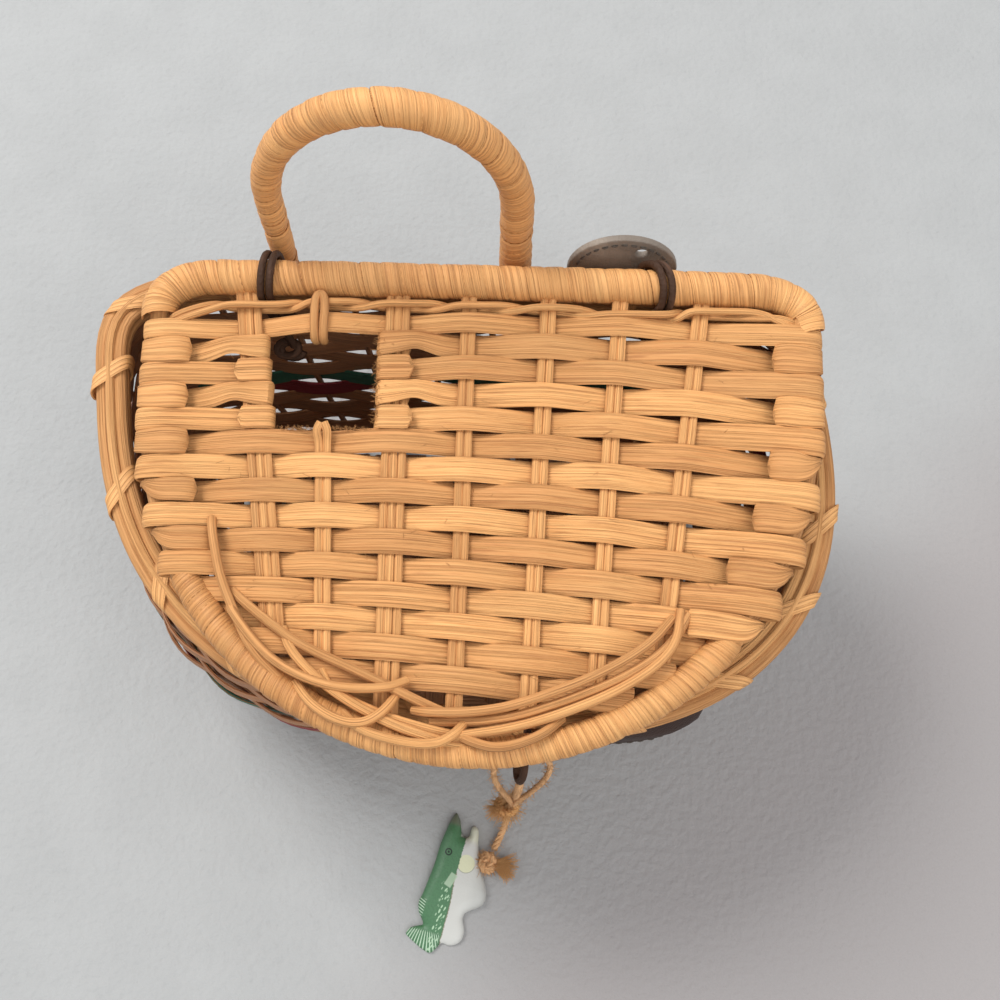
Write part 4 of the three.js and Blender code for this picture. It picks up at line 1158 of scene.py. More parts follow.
def twine_path(lid, sign, lace_places):
    lace = 1 * MM
    room = lid.rod_radius + 2 * (CLEAR + lace) + CLEAR + lid.twine
    usual = lid.rod_radius + CLEAR + lid.twine * 2.4
    lift = lid.spoke_thick / 2 + CLEAR + lid.twine
    slip = lid.twine + CLEAR / 2
    reach = lid.half_width - lid.rod_corner * 1.2
    points = [
        on_lid(-lid.half_width + 1.5 * MM, usual + (7.4 + sign * 0.6) * MM, -1 * MM),
        on_lid(-lid.half_width + 5 * MM, usual + (5.6 + sign * 0.9) * MM, 2.4 * MM),
        on_lid(-reach + 3 * MM, usual + 2 * MM + sign * slip, 2.2 * MM + sign * 0.6 * MM),
    ]
    holds = []
    for index in range(len(SPOKES)):
        x = spoke_x(lid, index, usual)
        side = spoke_width(lid, index) / 2 + 1 * MM
        near = [place for place in lace_places if 0 < place - x < 12 * MM]
        end = near[0] + 2 * lace + 1 * MM if near else x + side
        holds.append((x - side, end, room if near else usual))
    for i, (start, end, depth) in enumerate(holds):
        way = sign * (1 if i % 2 == 0 else -1)
        points += [on_lid(start, depth, way * lift), on_lid(end, depth, way * lift)]
        ahead = holds[i + 1] if i + 1 < len(holds) else None
        cross_x = (end + ahead[0]) / 2 if ahead else reach
        cross_depth = (depth + ahead[2]) / 2 if ahead else usual
        points.append(on_lid(cross_x, cross_depth - way * slip))
    points.append(on_lid(reach + 5 * MM, usual + (2.2 + sign * 0.9) * MM, 2 * MM))
    points.append(on_lid(lid.half_width - 0.6 * MM, usual + (4.2 + sign * 0.5) * MM, 0.6 * MM))
    return softened(points, 3)


def lace_places(lid):
    left = spoke_x(lid, 0, lid.rod_radius + CLEAR + 1 * MM) + spoke_width(lid, 0) / 2 + 2.15 * MM + CLEAR
    return left, 0.53 * lid.half_width


def rim_ring(creel, name, offset, drop, outline, points=160):
    route = []
    for turn in even_turns(creel, points):
        spot, _ = rim_point(creel, turn, offset + wobble(len(name), turn * 9) * 0.25 * MM)
        route.append((spot.x, spot.y, rim_top_z(creel, spot.y) - drop))
    return sweep(name, route, outline, closed=True)


def front_face(creel, x, z, out):
    """The wall's outer face at a place across the front and a height, moved outwards."""

    def height_at(turn):
        height = z / wall_top_z(creel, creel.basket.middle_y - creel.basket.front)
        for _ in range(3):
            height = z / wall_top_z(creel, wall_point(creel, turn, height, 0).y)
        return height

    low, high = 0.02, 0.48
    for _ in range(24):
        middle = (low + high) / 2
        if wall_point(creel, middle, height_at(middle), 0).x > x:
            low = middle
        else:
            high = middle
    height = height_at(low)
    spot = wall_point(creel, low, height, 0)
    outward = wall_outward(creel, low, height)
    return Vector((spot.x, spot.y, z)) + outward * out


def strokes(name, lines, thick, resolution=0):
    """Many short round lines as one piece."""
    deselect()
    bpy.ops.curve.primitive_nurbs_path_add(location=(0, 0, 0))
    line = bpy.context.object
    line.name = name
    line.data.splines.clear()
    for points in lines:
        spline = line.data.splines.new("POLY")
        spline.points.add(len(points) - 1)
        for i, point in enumerate(points):
            spline.points[i].co = (*point, 1.0)
            spline.points[i].radius = 0.75 if i in (0, len(points) - 1) else 1.0
    line.data.bevel_depth = thick
    line.data.bevel_resolution = resolution
    line.data.use_fill_caps = True
    pick(line)
    bpy.ops.object.convert(target="MESH")
    piece = bpy.context.object
    close_up(piece)
    return piece


def fibres(name, roots, thick=0.05 * MM, seed=5):
    """Loose fibres as one piece: each root is a place, a direction, a length and how much it curls."""
    dice = random.Random(seed)
    lines = []
    for spot, heading, reach, curl in roots:
        here = Vector(spot)
        ahead = Vector(heading).normalized()
        line = []
        for _ in range(5):
            line.append(tuple(here))
            here = here + ahead * (reach / 4)
            ahead = (ahead + Vector([dice.uniform(-curl, curl) for _ in range(3)])).normalized()
            if spot[2] > 0:
                here.z = max(here.z, thick * 1.5)
        lines.append(line)
    return strokes(name, lines, thick)


def fuzz_along(route, radius, number, reach, seed):
    """Roots of loose fibres round a cord."""
    dice = random.Random(seed)
    frames = side_frames(route)
    roots = []
    for _ in range(number):
        i = dice.randrange(len(route))
        turn = dice.uniform(0, TURN)
        out = frames[i][0] * math.cos(turn) + frames[i][1] * math.sin(turn)
        ahead = Vector(route[min(i + 1, len(route) - 1)]) - Vector(route[max(i - 1, 0)])
        heading = out + ahead.normalized() * dice.uniform(-1.2, 1.2)
        roots.append((Vector(route[i]) + out * radius * 0.7, heading, dice.uniform(0.4, 1) * reach, 0.35))
    return roots


def stitches(name, route, step, thick, lift):
    """A row of stitches laid along a route, each stood off along the one given direction."""
    route = [tuple(spot) for spot in route]
    along = distances(route, False)
    spots = np.array(route, dtype=float)
    lines = []
    far = step * 0.3
    while far + step * 0.62 < along[-1]:
        line = []
        for share, up in ((0.0, -0.6), (0.15, 0.6), (0.5, 1.0), (0.85, 0.6), (1.0, -0.6)):
            spot = Vector([np.interp(far + step * 0.62 * share, along, spots[:, k]) for k in range(3)])
            line.append(tuple(spot + Vector(lift) * up * thick))
        lines.append(line)
        far += step
    return strokes(name, lines, thick, resolution=1)


def plate(name, outline, thick, holes=(), bevel=0.3 * MM):
    """A flat leather plate with soft edges, lying in X and Y, with its holes."""
    line = drawn_line(name, [(x, y, 0.0) for x, y in outline], closed=True)
    line.data.dimensions = "2D"
    for hole in holes:
        spline = line.data.splines.new("POLY")
        spline.points.add(len(hole) - 1)
        spline.points.foreach_set("co", [c for x, y in hole for c in (x, y, 0.0, 1.0)])
        spline.use_cyclic_u = True
    line.data.fill_mode = "BOTH"
    line.data.extrude = thick / 2 - bevel
    line.data.bevel_depth = bevel
    line.data.bevel_resolution = 2
    line.data.offset = -bevel
    pick(line)
    bpy.ops.object.convert(target="MESH")
    piece = bpy.context.object
    close_up(piece)
    return piece


def shell(name, left, right, low, high, columns, rows, spot, thick):
    """A leather piece laid over the front: a grid moved to its places, given its thickness and soft edges."""
    deselect()
    bpy.ops.mesh.primitive_grid_add(x_subdivisions=columns, y_subdivisions=rows, size=2, location=(0, 0, 0))
    piece = bpy.context.object
    piece.name = name
    places = []
    for vertex in piece.data.vertices:
        across, up = (vertex.co.x + 1) / 2, (vertex.co.y + 1) / 2
        places += list(spot(left + (right - left) * across, low + (high - low) * up, across, up))
    piece.data.vertices.foreach_set("co", places)
    piece.data.update()
    bpy.ops.object.modifier_add(type="SOLIDIFY")
    piece.modifiers[-1].thickness = thick
    piece.modifiers[-1].offset = 0
    bpy.ops.object.modifier_apply(modifier=piece.modifiers[-1].name)
    bpy.ops.object.modifier_add(type="BEVEL")
    piece.modifiers[-1].width = thick * 0.3
    piece.modifiers[-1].segments = 2
    bpy.ops.object.modifier_apply(modifier=piece.modifiers[-1].name)
    close_up(piece)
    return piece


class BuildStep:
    """What every step of the creel shares."""

    bl_options = {"REGISTER", "UNDO"}

    def execute(self, context):
        self.build(context.scene.creel)
        return {"FINISHED"}


def charm_place(charm):
    return Matrix.Translation((FISH_NOSE[0], FISH_NOSE[1], 0)) @ Matrix.Rotation(-charm.fish_turn, 4, "Z")


class CREEL_OT_camera(BuildStep, bpy.types.Operator):
    """Sets the camera to the photograph's angle"""

    bl_idname = "creel.camera"
    bl_label = "Camera"

    def build(self, creel):
        deselect()
        bpy.ops.object.camera_add()
        camera = bpy.context.object
        camera.matrix_world = (
            Matrix.Translation((0.0106, -0.1078, 0.3839))
            @ Matrix.Rotation(math.radians(21), 4, "X")
            @ Matrix.Rotation(math.radians(1.5), 4, "Z")
        )
        camera.data.sensor_width = 36
        camera.data.lens = 42.588
        camera.data.clip_start = 0.01
        bpy.context.scene.camera = camera


class CREEL_OT_charm(BuildStep, bpy.types.Operator):
    """Twists the jute, ties its knot and bow, and lays down the painted fish"""

    bl_idname = "creel.charm"
    bl_label = "Jute and Fish"

    def build(self, creel):
        charm = creel.charm
        jute = finish_of(creel, "jute")
        route = [tuple(c * MM for c in point) for point in JUTE_ROUTE]
        smooth = softened(route)
        cord = plies("jute_tie", smooth, charm.jute * 0.76, lay=6 * MM)
        hairs = fuzz_along(evenly(smooth, 1 * MM), charm.jute * 0.76, 520, 2.2 * MM, 3)
        fuzz = fibres("jute_fuzz", hairs, thick=0.035 * MM)
        tie = joined("jute_tie", [cord, fuzz])
        finished(tie, "basket", jute, "jute_tie", slot="jute")
        knot = self.knot(creel, Vector(route[-1]), Vector(route[-2]))
        bow = self.bow(creel)
        fish = self.fish(creel)
        extras = [self.upper_strands(creel), self.middle_knot(creel)]

    def knot(self, creel, end, before):
        onward = (end - before).normalized()
        middle = end + onward * 4.5 * MM
        middle.z = 2.4 * MM
        route = []
        for i in range(46):
            turn = TURN * 2.6 * i / 45
            out = 1.5 * MM + 0.5 * MM * math.sin(turn * 0.7)
            route.append(
                (
                    middle.x + out * math.cos(turn),
                    middle.y + out * math.sin(turn) * 1.15,
                    middle.z + 1.0 * MM * math.sin(turn * 1.35 + 0.6),
                )
            )
        cord = plies("jute_knot", route, creel.charm.jute * 0.92, lay=5 * MM)
        fuzz = fibres("knot_fuzz", fuzz_along(evenly(route, 0.7 * MM), 1.2 * MM, 420, 3 * MM, 11))
        piece = joined("jute_knot", [cord, fuzz])
        return finished(piece, "basket", finish_of(creel, "jute"), "jute_knot", slot="jute")

    def bow(self, creel):
        """Loose strands that come out of the knot on both sides."""
        dice = random.Random(21)
        start = Vector((9.8, -81, 2.2)) * MM
        roots = []
        for side in (-1, 1):
            for _ in range(260 if side > 0 else 70):
                heading = (side * dice.uniform(0.5, 1.2), dice.uniform(-1, 0.2), dice.uniform(-0.15, 0.3))
                reach = dice.uniform(4, 9) * MM if side > 0 else dice.uniform(2, 4) * MM
                roots.append((start + Vector((side * 1.2 * MM, 0, 0)), heading, reach, 0.26))
        piece = fibres("jute_bow", roots, thick=0.07 * MM, seed=8)
        return finished(piece, "basket", finish_of(creel, "tuft"), slot="jute")

    def upper_strands(self, creel):
        """The two strands that come down from the lace loop to the upper knot."""
        lines = []
        for points in (
            (
                (17.4, -61.6, 89), (13.4, -62.4, 88.4), (10.6, -64.6, 84.6), (11, -66.6, 78),
                (12.6, -67.6, 69), (15.4, -69, 57), (16, -69.4, 52),
            ),
            (
                (17.6, -61.4, 89.2), (21.8, -61.6, 88.6), (25.2, -63, 85), (24.6, -65.4, 78),
                (21.6, -67.4, 68), (17.4, -69.2, 57), (16.4, -69.4, 52),
            ),
        ):
            lines.append(softened([tuple(c * MM for c in point) for point in points]))
        pieces = []
        for i, line in enumerate(lines):
            pieces.append(plies(f"jute_upper_{i}", line, creel.charm.jute * 0.56, lay=4 * MM))
            hairs = fuzz_along(evenly(line, 1 * MM), 0.8 * MM, 260, 2 * MM, 31 + i)
            pieces.append(fibres(f"upper_fuzz_{i}", hairs))
        return finished(joined("jute_upper", pieces), "basket", finish_of(creel, "jute"), slot="jute")

    def middle_knot(self, creel):
        """A fuzzy knot where the two strands join."""
        middle = Vector((14.6, -69.6, 49)) * MM
        route = []
        for i in range(40):
            turn = TURN * 2.2 * i / 39
            out = 2.0 * MM * (1 + 0.25 * math.sin(turn * 0.6))
            offset = (out * math.cos(turn) * 1.1, out * math.sin(turn) * 0.9, (i - 20) * 0.09 * MM)
            route.append(tuple(middle + Vector(offset)))
        cord = plies("jute_middle", route, creel.charm.jute * 0.8, lay=5 * MM)
        dice = random.Random(17)
        roots = fuzz_along(route, 1.2 * MM, 500, 3.4 * MM, 41)
        for _ in range(260):
            heading = (dice.uniform(-1, 0.35), dice.uniform(-0.5, 0.1), dice.uniform(-0.8, 0.6))
            roots.append((middle, heading, dice.uniform(4, 7) * MM, 0.25))
        piece = joined("jute_middle", [cord, fibres("middle_fuzz", roots, seed=44)])
        return finished(piece, "basket", finish_of(creel, "tuft"), slot="jute")

    def fish(self, creel):
        charm = creel.charm
        long = charm.fish_length
        outline = [(side * long, -far * long) for far, side in FISH_OUTLINE]
        line = drawn_line("fish_charm", [(x, y, 0.0) for x, y in outline], closed=True)
        line.data.dimensions = "2D"
        line.data.fill_mode = "BOTH"
        line.data.extrude = charm.fish_thick / 2
        pick(line)
        bpy.ops.object.convert(target="MESH")
        piece = bpy.context.object
        close_up(piece)
        bpy.ops.object.modifier_add(type="REMESH")
        piece.modifiers[-1].mode = "VOXEL"
        piece.modifiers[-1].voxel_size = 0.3 * MM
        bpy.ops.object.modifier_apply(modifier=piece.modifiers[-1].name)
        spots = np.empty(len(piece.data.vertices) * 3, dtype=np.float32)
        piece.data.vertices.foreach_get("co", spots)
        spots = spots.reshape(-1, 3)
        ring = np.array(outline + outline[:1])
        nearest = np.full(len(spots), 1.0)
        for a, b in zip(ring[:-1], ring[1:]):
            share = np.clip(((spots[:, :2] - a) @ (b - a)) / ((b - a) @ (b - a)), 0, 1)
            gap = np.linalg.norm(spots[:, :2] - (a + share[:, None] * (b - a)), axis=1)
            nearest = np.minimum(nearest, gap)
        swell = 0.42 + 0.58 * np.sqrt(1 - (1 - np.clip(nearest / (3.6 * MM), 0, 1)) ** 2)
        thin = np.interp(-spots[:, 1] / long, [0, 0.15, 0.5, 0.8, 0.95], [0.75, 1, 1, 0.7, 0.5])
        spots[:, 2] = (spots[:, 2] + charm.fish_thick / 2) * swell * thin
        piece.data.vertices.foreach_set("co", spots.ravel())
        piece.data.update()
        bpy.ops.object.modifier_add(type="SMOOTH")
        piece.modifiers[-1].iterations = 4
        bpy.ops.object.modifier_apply(modifier=piece.modifiers[-1].name)
        put(piece, charm_place(charm))
        close_up(piece)
        return finished(piece, "basket", finish_of(creel, "fish"), "fish_charm", smooth=60, slot="fish_paint")


class CREEL_OT_rows(BuildStep, bpy.types.Operator):
    """Weaves the rows of the lid round its spokes, its side frames and the fish hole"""

    bl_idname = "creel.rows"
    bl_label = "Lid Rows"

    def build(self, creel):
        for row in range(1, ROW_COUNT + 1):
            weave_row(creel, row)
        self.frays(creel)

    def frays(self, creel):
        """Torn fibres along the hole's right side and lower edge, and a few loose hairs on the weave."""
        lid = creel.lid
        dice = random.Random(77)
        roots = []
        for _ in range(230):
            row = dice.choice((2, 3, 4, 5))
            edge = spoke_x(lid, 2, row_depth(lid, row, 0)) - spoke_width(lid, 2) / 2
            edge -= dice.uniform(0.2, 1.9) * MM
            depth = row_depth(lid, row, edge) + dice.uniform(-2.9, 2.9) * MM
            heading = (dice.uniform(-1, 0.3), dice.uniform(-0.8, 0.8), dice.uniform(-0.1, 0.6))
            spot = on_lid(edge, depth, dice.uniform(-0.4, 1.8) * MM)
            roots.append((spot, heading, dice.uniform(0.6, 2.2) * MM, 0.3))
        for _ in range(260):
            x = dice.uniform(spoke_x(lid, 0, 40 * MM) + 3 * MM, spoke_x(lid, 2, 40 * MM) + 4 * MM)
            depth = row_depth(lid, 6, x) - row_half(lid, 6, x) * 1.05 + dice.uniform(0, 0.5) * MM
            heading = (dice.uniform(-1, 1), dice.uniform(0, 1.1), dice.uniform(-0.2, 0.5))
            spot = on_lid(x, depth, dice.uniform(0, 1.5) * MM)
            roots.append((spot, heading, dice.uniform(0.4, 1.6) * MM, 0.35))
        for _ in range(60):
            x = dice.uniform(-0.9, 0.9) * lid.half_width
            depth = dice.uniform(10 * MM, hoop_depth(lid, x, 8 * MM))
            heading = (dice.uniform(-1, 1), dice.uniform(-0.5, 0.5), dice.uniform(0.1, 0.6))
            roots.append((on_lid(x, depth, 1.9 * MM), heading, dice.uniform(1.2, 3.4) * MM, 0.2))
        piece = fibres("lid_frays", roots, thick=0.06 * MM, seed=78)
        put(piece, lid_place(lid))
        finished(piece, "lid", finish_of(creel, "row"), slot="natural_reed")


class CREEL_OT_spokes(BuildStep, bpy.types.Operator):
    """Lays the spokes under and over the rows"""

    bl_idname = "creel.spokes"
    bl_label = "Lid Spokes"

    def build(self, creel):
        lid = creel.lid
        start = lid.rod_radius - 0.6 * MM
        for index in range(len(SPOKES)):
            name = f"lid_spoke_{index + 1}"
            end = spoke_end(lid, index)
            if index == HOLE_CUT_SPOKE:
                x = spoke_x(lid, index, 0)
                above = row_depth(lid, 1, x) + row_half(lid, 1, x) + 3 * MM
                below = row_depth(lid, 6, x) - row_half(lid, 6, x) - 1 * MM
                self.looped_stub(creel, f"{name}_stub", index, above)
                spoke_strands(creel, name, index, below, end, 1)
            else:
                spoke_strands(creel, name, index, start, end, 0)


    def looped_stub(self, creel, name, index, end):
        """The cut spoke above the hole: one strand that goes over the twine and down on both sides."""
        lid = creel.lid
        x = spoke_x(lid, index, 0)
        legs = []
        for side in (-1, 1):
            legs.append(
                [
                    (x + side * 1.1 * MM, -6.4 * MM, 3.3 * MM),
                    (x + side * 1.35 * MM, -9.5 * MM, 3 * MM),
                    (x + side * 1.25 * MM, -13.5 * MM, 2.9 * MM),
                    (x + side * 1.1 * MM, -end + 1 * MM, 1.4 * MM),
                    (x + side * 1 * MM, -end + 1.6 * MM, -1.4 * MM),
                ]
            )
        route = legs[0][::-1] + [(x, -5.2 * MM, 2.6 * MM)] + legs[1]
        piece = sweep(name, softened(route), circle(lid.strand * 0.56, 10), twist="MINIMUM")
        put(piece, lid_place(lid))
        finished(piece, "lid", finish_of(creel, "spoke"), name, slot="natural_reed")


class CREEL_OT_lid_frame(BuildStep, bpy.types.Operator):
    """Winds the hinge rod and the front hoop, and adds the side frames and the twine"""

    bl_idname = "creel.lid_frame"
    bl_label = "Lid Frame"

    def build(self, creel):
        lid = creel.lid
        wrap = finish_of(creel, "wrap")
        rod = wound("lid_back_rod", rod_path(lid), lid.rod_radius, 5.4 * MM)
        put(rod, lid_place(lid))
        finished(rod, "lid", wrap, "lid_back_rod", slot="wrapped_reed")
        path, sizes = hoop_path(lid)
        hoop = wound("lid_front_hoop", path, lid.hoop_radius, 3.9 * MM, sizes=sizes)
        put(hoop, lid_place(lid))
        finished(hoop, "lid", wrap, "lid_front_hoop", slot="wrapped_reed")
        for side, name in ((-1, "lid_frame_left"), (1, "lid_frame_right")):
            piece = sweep(name, side_path(lid, side), circle(lid.side_radius, 12))
            put(piece, lid_place(lid))
            finished(piece, "lid", finish_of(creel, "rim"), name, slot="wrapped_reed")
        for sign, name in ((1, "lid_twine_1"), (-1, "lid_twine_2")):
            twine = twine_path(lid, sign, lace_places(lid))
            piece = sweep(name, twine, circle(lid.twine * 1.08, 10), twist="MINIMUM")
            put(piece, lid_place(lid))
            finished(piece, "lid", finish_of(creel, "spoke"), name, slot="natural_reed")


class CREEL_OT_border(BuildStep, bpy.types.Operator):
    """Bends the spoke ends along the inside of the front hoop"""

    bl_idname = "creel.border"
    bl_label = "Lid Border"

    def build(self, creel):
        lid = creel.lid
        pieces = []
        for i, (rise, points) in enumerate(BORDER_REEDS):
            low = 1.6 * MM
            line = []
            for k, (x, depth) in enumerate(points):
                edge = k in (0, len(points) - 1)
                line.append(on_lid(x * MM, depth * MM, low if edge else rise * MM))
            pieces.append(sweep(f"border_{i}", softened(line, 3), circle(lid.border, 10), twist="MINIMUM"))
        piece = joined("lid_border_reeds", pieces)
        put(piece, lid_place(lid))
        nodes = ("lid_border_reed_1", "lid_border_reed_2", "lid_border_reed_3")
        finished(piece, "lid", finish_of(creel, "spoke"), *nodes, slot="natural_reed")


class CREEL_OT_basket(BuildStep, bpy.types.Operator):
    """Weaves the basket's wall round its stakes, and its floor"""

    bl_idname = "creel.basket"
    bl_label = "Basket Wall and Floor"

    def build(self, creel):
        basket = creel.basket
        middle = basket.wall / 2
        stakes = []
        for i, turn in enumerate(even_turns(creel, basket.stakes)):
            route = [wall_point(creel, turn, 0.02 + 0.98 * k / 24, middle) for k in range(25)]
            stakes.append(sweep(f"stake_{i}", route, circle(1.0 * MM, 8), twist="MINIMUM"))
        floor = self.floor(creel)
        base = joined("body_stakes", stakes + floor)
        finished(base, "basket", finish_of(creel, "brown"), "body_wall", slot="dyed_reed")
        rows = {"brown": [], "green": [], "maroon": []}
        for row in range(basket.rows):
            dye = {GREEN_ROW: "green", MAROON_ROW: "maroon"}.get(row, "brown")
            rows[dye].append(self.wall_row(creel, row))
        for dye, pieces in rows.items():
            piece = joined(f"body_rows_{dye}", pieces)
            finished(piece, "basket", finish_of(creel, dye), slot="dyed_reed")

    def wall_row(self, creel, row):
        basket = creel.basket
        height = 0.035 + 0.96 * (row + 0.5) / basket.rows
        step = 6
        turns = even_turns(creel, basket.stakes * step)
        points, tilts, gaps = [], [], []
        for i, turn in enumerate(turns):
            way = math.cos(math.pi * i / step) * (1 if row % 2 == 0 else -1)
            outward = wall_outward(creel, turn, height)
            spot = wall_point(creel, turn, height, basket.wall / 2)
            above = wall_point(creel, turn, height + 0.03, basket.wall / 2)
            below = wall_point(creel, turn, max(0.0, height - 0.03), basket.wall / 2)
            lean = (above - below).dot(outward)
            rise = above.z - below.z
            belly = max(0.0, outward.dot(Vector((-0.6, -0.8, 0)))) ** 3 * 3.2 * MM
            belly *= math.sin(math.pi * min(1, height * 1.15))
            points.append(spot + outward * (way * 1.2 * MM + belly))
            tilts.append(-math.atan2(lean, rise))
            share = height + 0.03 - max(0.0, height - 0.03)
            gaps.append(math.hypot(lean, rise) / share * 0.96 / basket.rows)
        width = sum(gaps) / len(gaps) * 1.22
        sizes = [gap / (sum(gaps) / len(gaps)) for gap in gaps]
        reed = flat_reed(width, 0.95 * MM)
        return sweep(f"wall_row_{row}", points, reed, closed=True, tilts=tilts, sizes=sizes)

    def floor(self, creel):
        """Flat reeds crossed over and under, cut to the floor's outline."""
        edge = [wall_point(creel, turn, 0.02, creel.basket.wall * 1.2) for turn in even_turns(creel, 120)]
        xs = np.array([spot.x for spot in edge])
        ys = np.array([spot.y for spot in edge])
        pieces = []
        pitch = 9.5 * MM
        for way in (0, 1):
            across, along = (ys, xs) if way == 0 else (xs, ys)
            lines = int((across.max() - across.min()) / pitch)
            for k in range(lines):
                place = across.min() + (k + 0.5) * (across.max() - across.min()) / lines
                near = along[np.abs(across - place) < pitch * 0.75]
                low, high = near.min(), near.max()
                number = max(8, int((high - low) / (pitch / 4)))
                points = []
                for i in range(number + 1):
                    far = low + (high - low) * i / number
                    lift = 0.62 * MM * math.sin(math.pi * (far / pitch + k + way * 0.5 + way)) + 1.55 * MM
                    points.append((far, place, lift) if way == 0 else (place, far, lift))
                outline = [(y, x) for x, y in flat_reed(pitch * 0.86, 0.8 * MM, crown=-1, steps=4)][::-1]
                pieces.append(sweep(f"floor_{way}_{k}", points, outline))
        return pieces


class CREEL_OT_rim(BuildStep, bpy.types.Operator):
    """Bends the rim's reeds and binds them with lashings"""

    bl_idname = "creel.rim"
    bl_label = "Basket Rim"

    def build(self, creel):
        basket = creel.basket
        reed = circle(basket.rim_width / 2, 12, basket.rim_height / 2 / basket.rim_width)
        side = CLEAR / 2 + basket.rim_width / 2
        for name, offset in (("rim_outer", side), ("rim_inner", -side)):
            drops = enumerate((1.5 * MM, 4.5 * MM))
            rings = [rim_ring(creel, f"{name}_{i}", offset, drop, reed) for i, drop in drops]
            finished(joined(name, rings), "basket", finish_of(creel, "rim"), name, slot="rim_reed")
        filler = rim_ring(creel, "rim_filler", 0.0, 0.3 * MM, circle(1.3 * MM, 10))
        finished(filler, "basket", finish_of(creel, "rim"), slot="rim_reed")
        self.lashings(creel)

    def lashings(self, creel):
        basket = creel.basket
        wide = CLEAR / 2 + basket.rim_width + 0.25 * MM
        high = basket.rim_height / 2 + 0.55 * MM
        models = []
        for skew in LASH_SKEWS:
            route = []
            for i in range(36):
                turn = TURN * i / 36
                c, s = math.cos(turn), math.sin(turn)
                x = wide * math.copysign(abs(c) ** 0.62, c)
                y = high * math.copysign(abs(s) ** 0.62, s)
                route.append((x, y, y * 0.2 - x * skew))
            reed = flat_reed(3.7 * MM, 0.6 * MM, crown=1, bulge=0.4)
            models.append(sweep("lashing", route, reed, closed=True))
        loops = []
        dice = random.Random(12)
        for turn in even_turns(creel, basket.lashings):
            turn += dice.uniform(-0.006, 0.006)
            spot, outward = rim_point(creel, turn, 0.0)
            ahead, _ = rim_point(creel, turn + 0.002, 0.0)
            centre = Vector((spot.x, spot.y, rim_top_z(creel, spot.y) - basket.rim_height / 2))
            tangent = Vector((ahead.x, ahead.y, rim_top_z(creel, ahead.y) - basket.rim_height / 2)) - centre
            tangent.normalize()
            out = Vector((outward.x, outward.y, 0))
            out = (out - tangent * out.dot(tangent)).normalized()
            up = tangent.cross(out)
            if up.z < 0:
                tangent = -tangent
                up = -up
            on_right = spot.x > LASH_RIGHT_SIDE
            pick(models[1 if on_right else 0])
            bpy.ops.object.duplicate(linked=False)
            loop = bpy.context.object
            place = Matrix((out, up, tangent)).transposed().to_4x4()
            place.translation = centre
            lean = dice.uniform(-0.22, 0.28) * (0.2 if on_right else 1.0)
            put(loop, place @ Matrix.Rotation(lean, 4, "Y"))
            loops.append(loop)
        for model in models:
            bpy.data.objects.remove(model)
        lashing = joined("rim_lashing", loops)
        finished(lashing, "basket", finish_of(creel, "wrap"), "rim_lashing", slot="rim_reed")


class CREEL_OT_handle(BuildStep, bpy.types.Operator):
    """Winds the carrying handle behind the hinge"""

    bl_idname = "creel.handle"
    bl_label = "Handle"

    def build(self, creel):
        handle, basket = creel.handle, creel.basket
        y = basket.middle_y + basket.back + CLEAR / 2 + basket.rim_width + CLEAR + handle.thick
        spring = handle.top - handle.rise
        path = [(-handle.half_span, handle.foot), (-handle.half_span, spring)]
        for i in range(1, 40):
            turn = math.pi * (1 - i / 40)
            path.append((handle.half_span * math.cos(turn), spring + handle.rise * math.sin(turn)))
        path += [(handle.half_span, spring), (handle.half_span, handle.foot)]
        path = [(handle.centre_x + x, y, z) for x, z in path]
        along = distances(path, False)
        share = [far / along[-1] for far in along]
        grown = [max(0.0, min(1.0, (s - 0.12) / 0.3)) for s in share]
        sizes = [(handle.thin + (handle.thick - handle.thin) * g) / handle.thick for g in grown]
        piece = wound("handle", path, handle.thick, 5 * MM, sizes=sizes)
        finished(piece, "basket", finish_of(creel, "wrap"), "handle", slot="wrapped_reed")


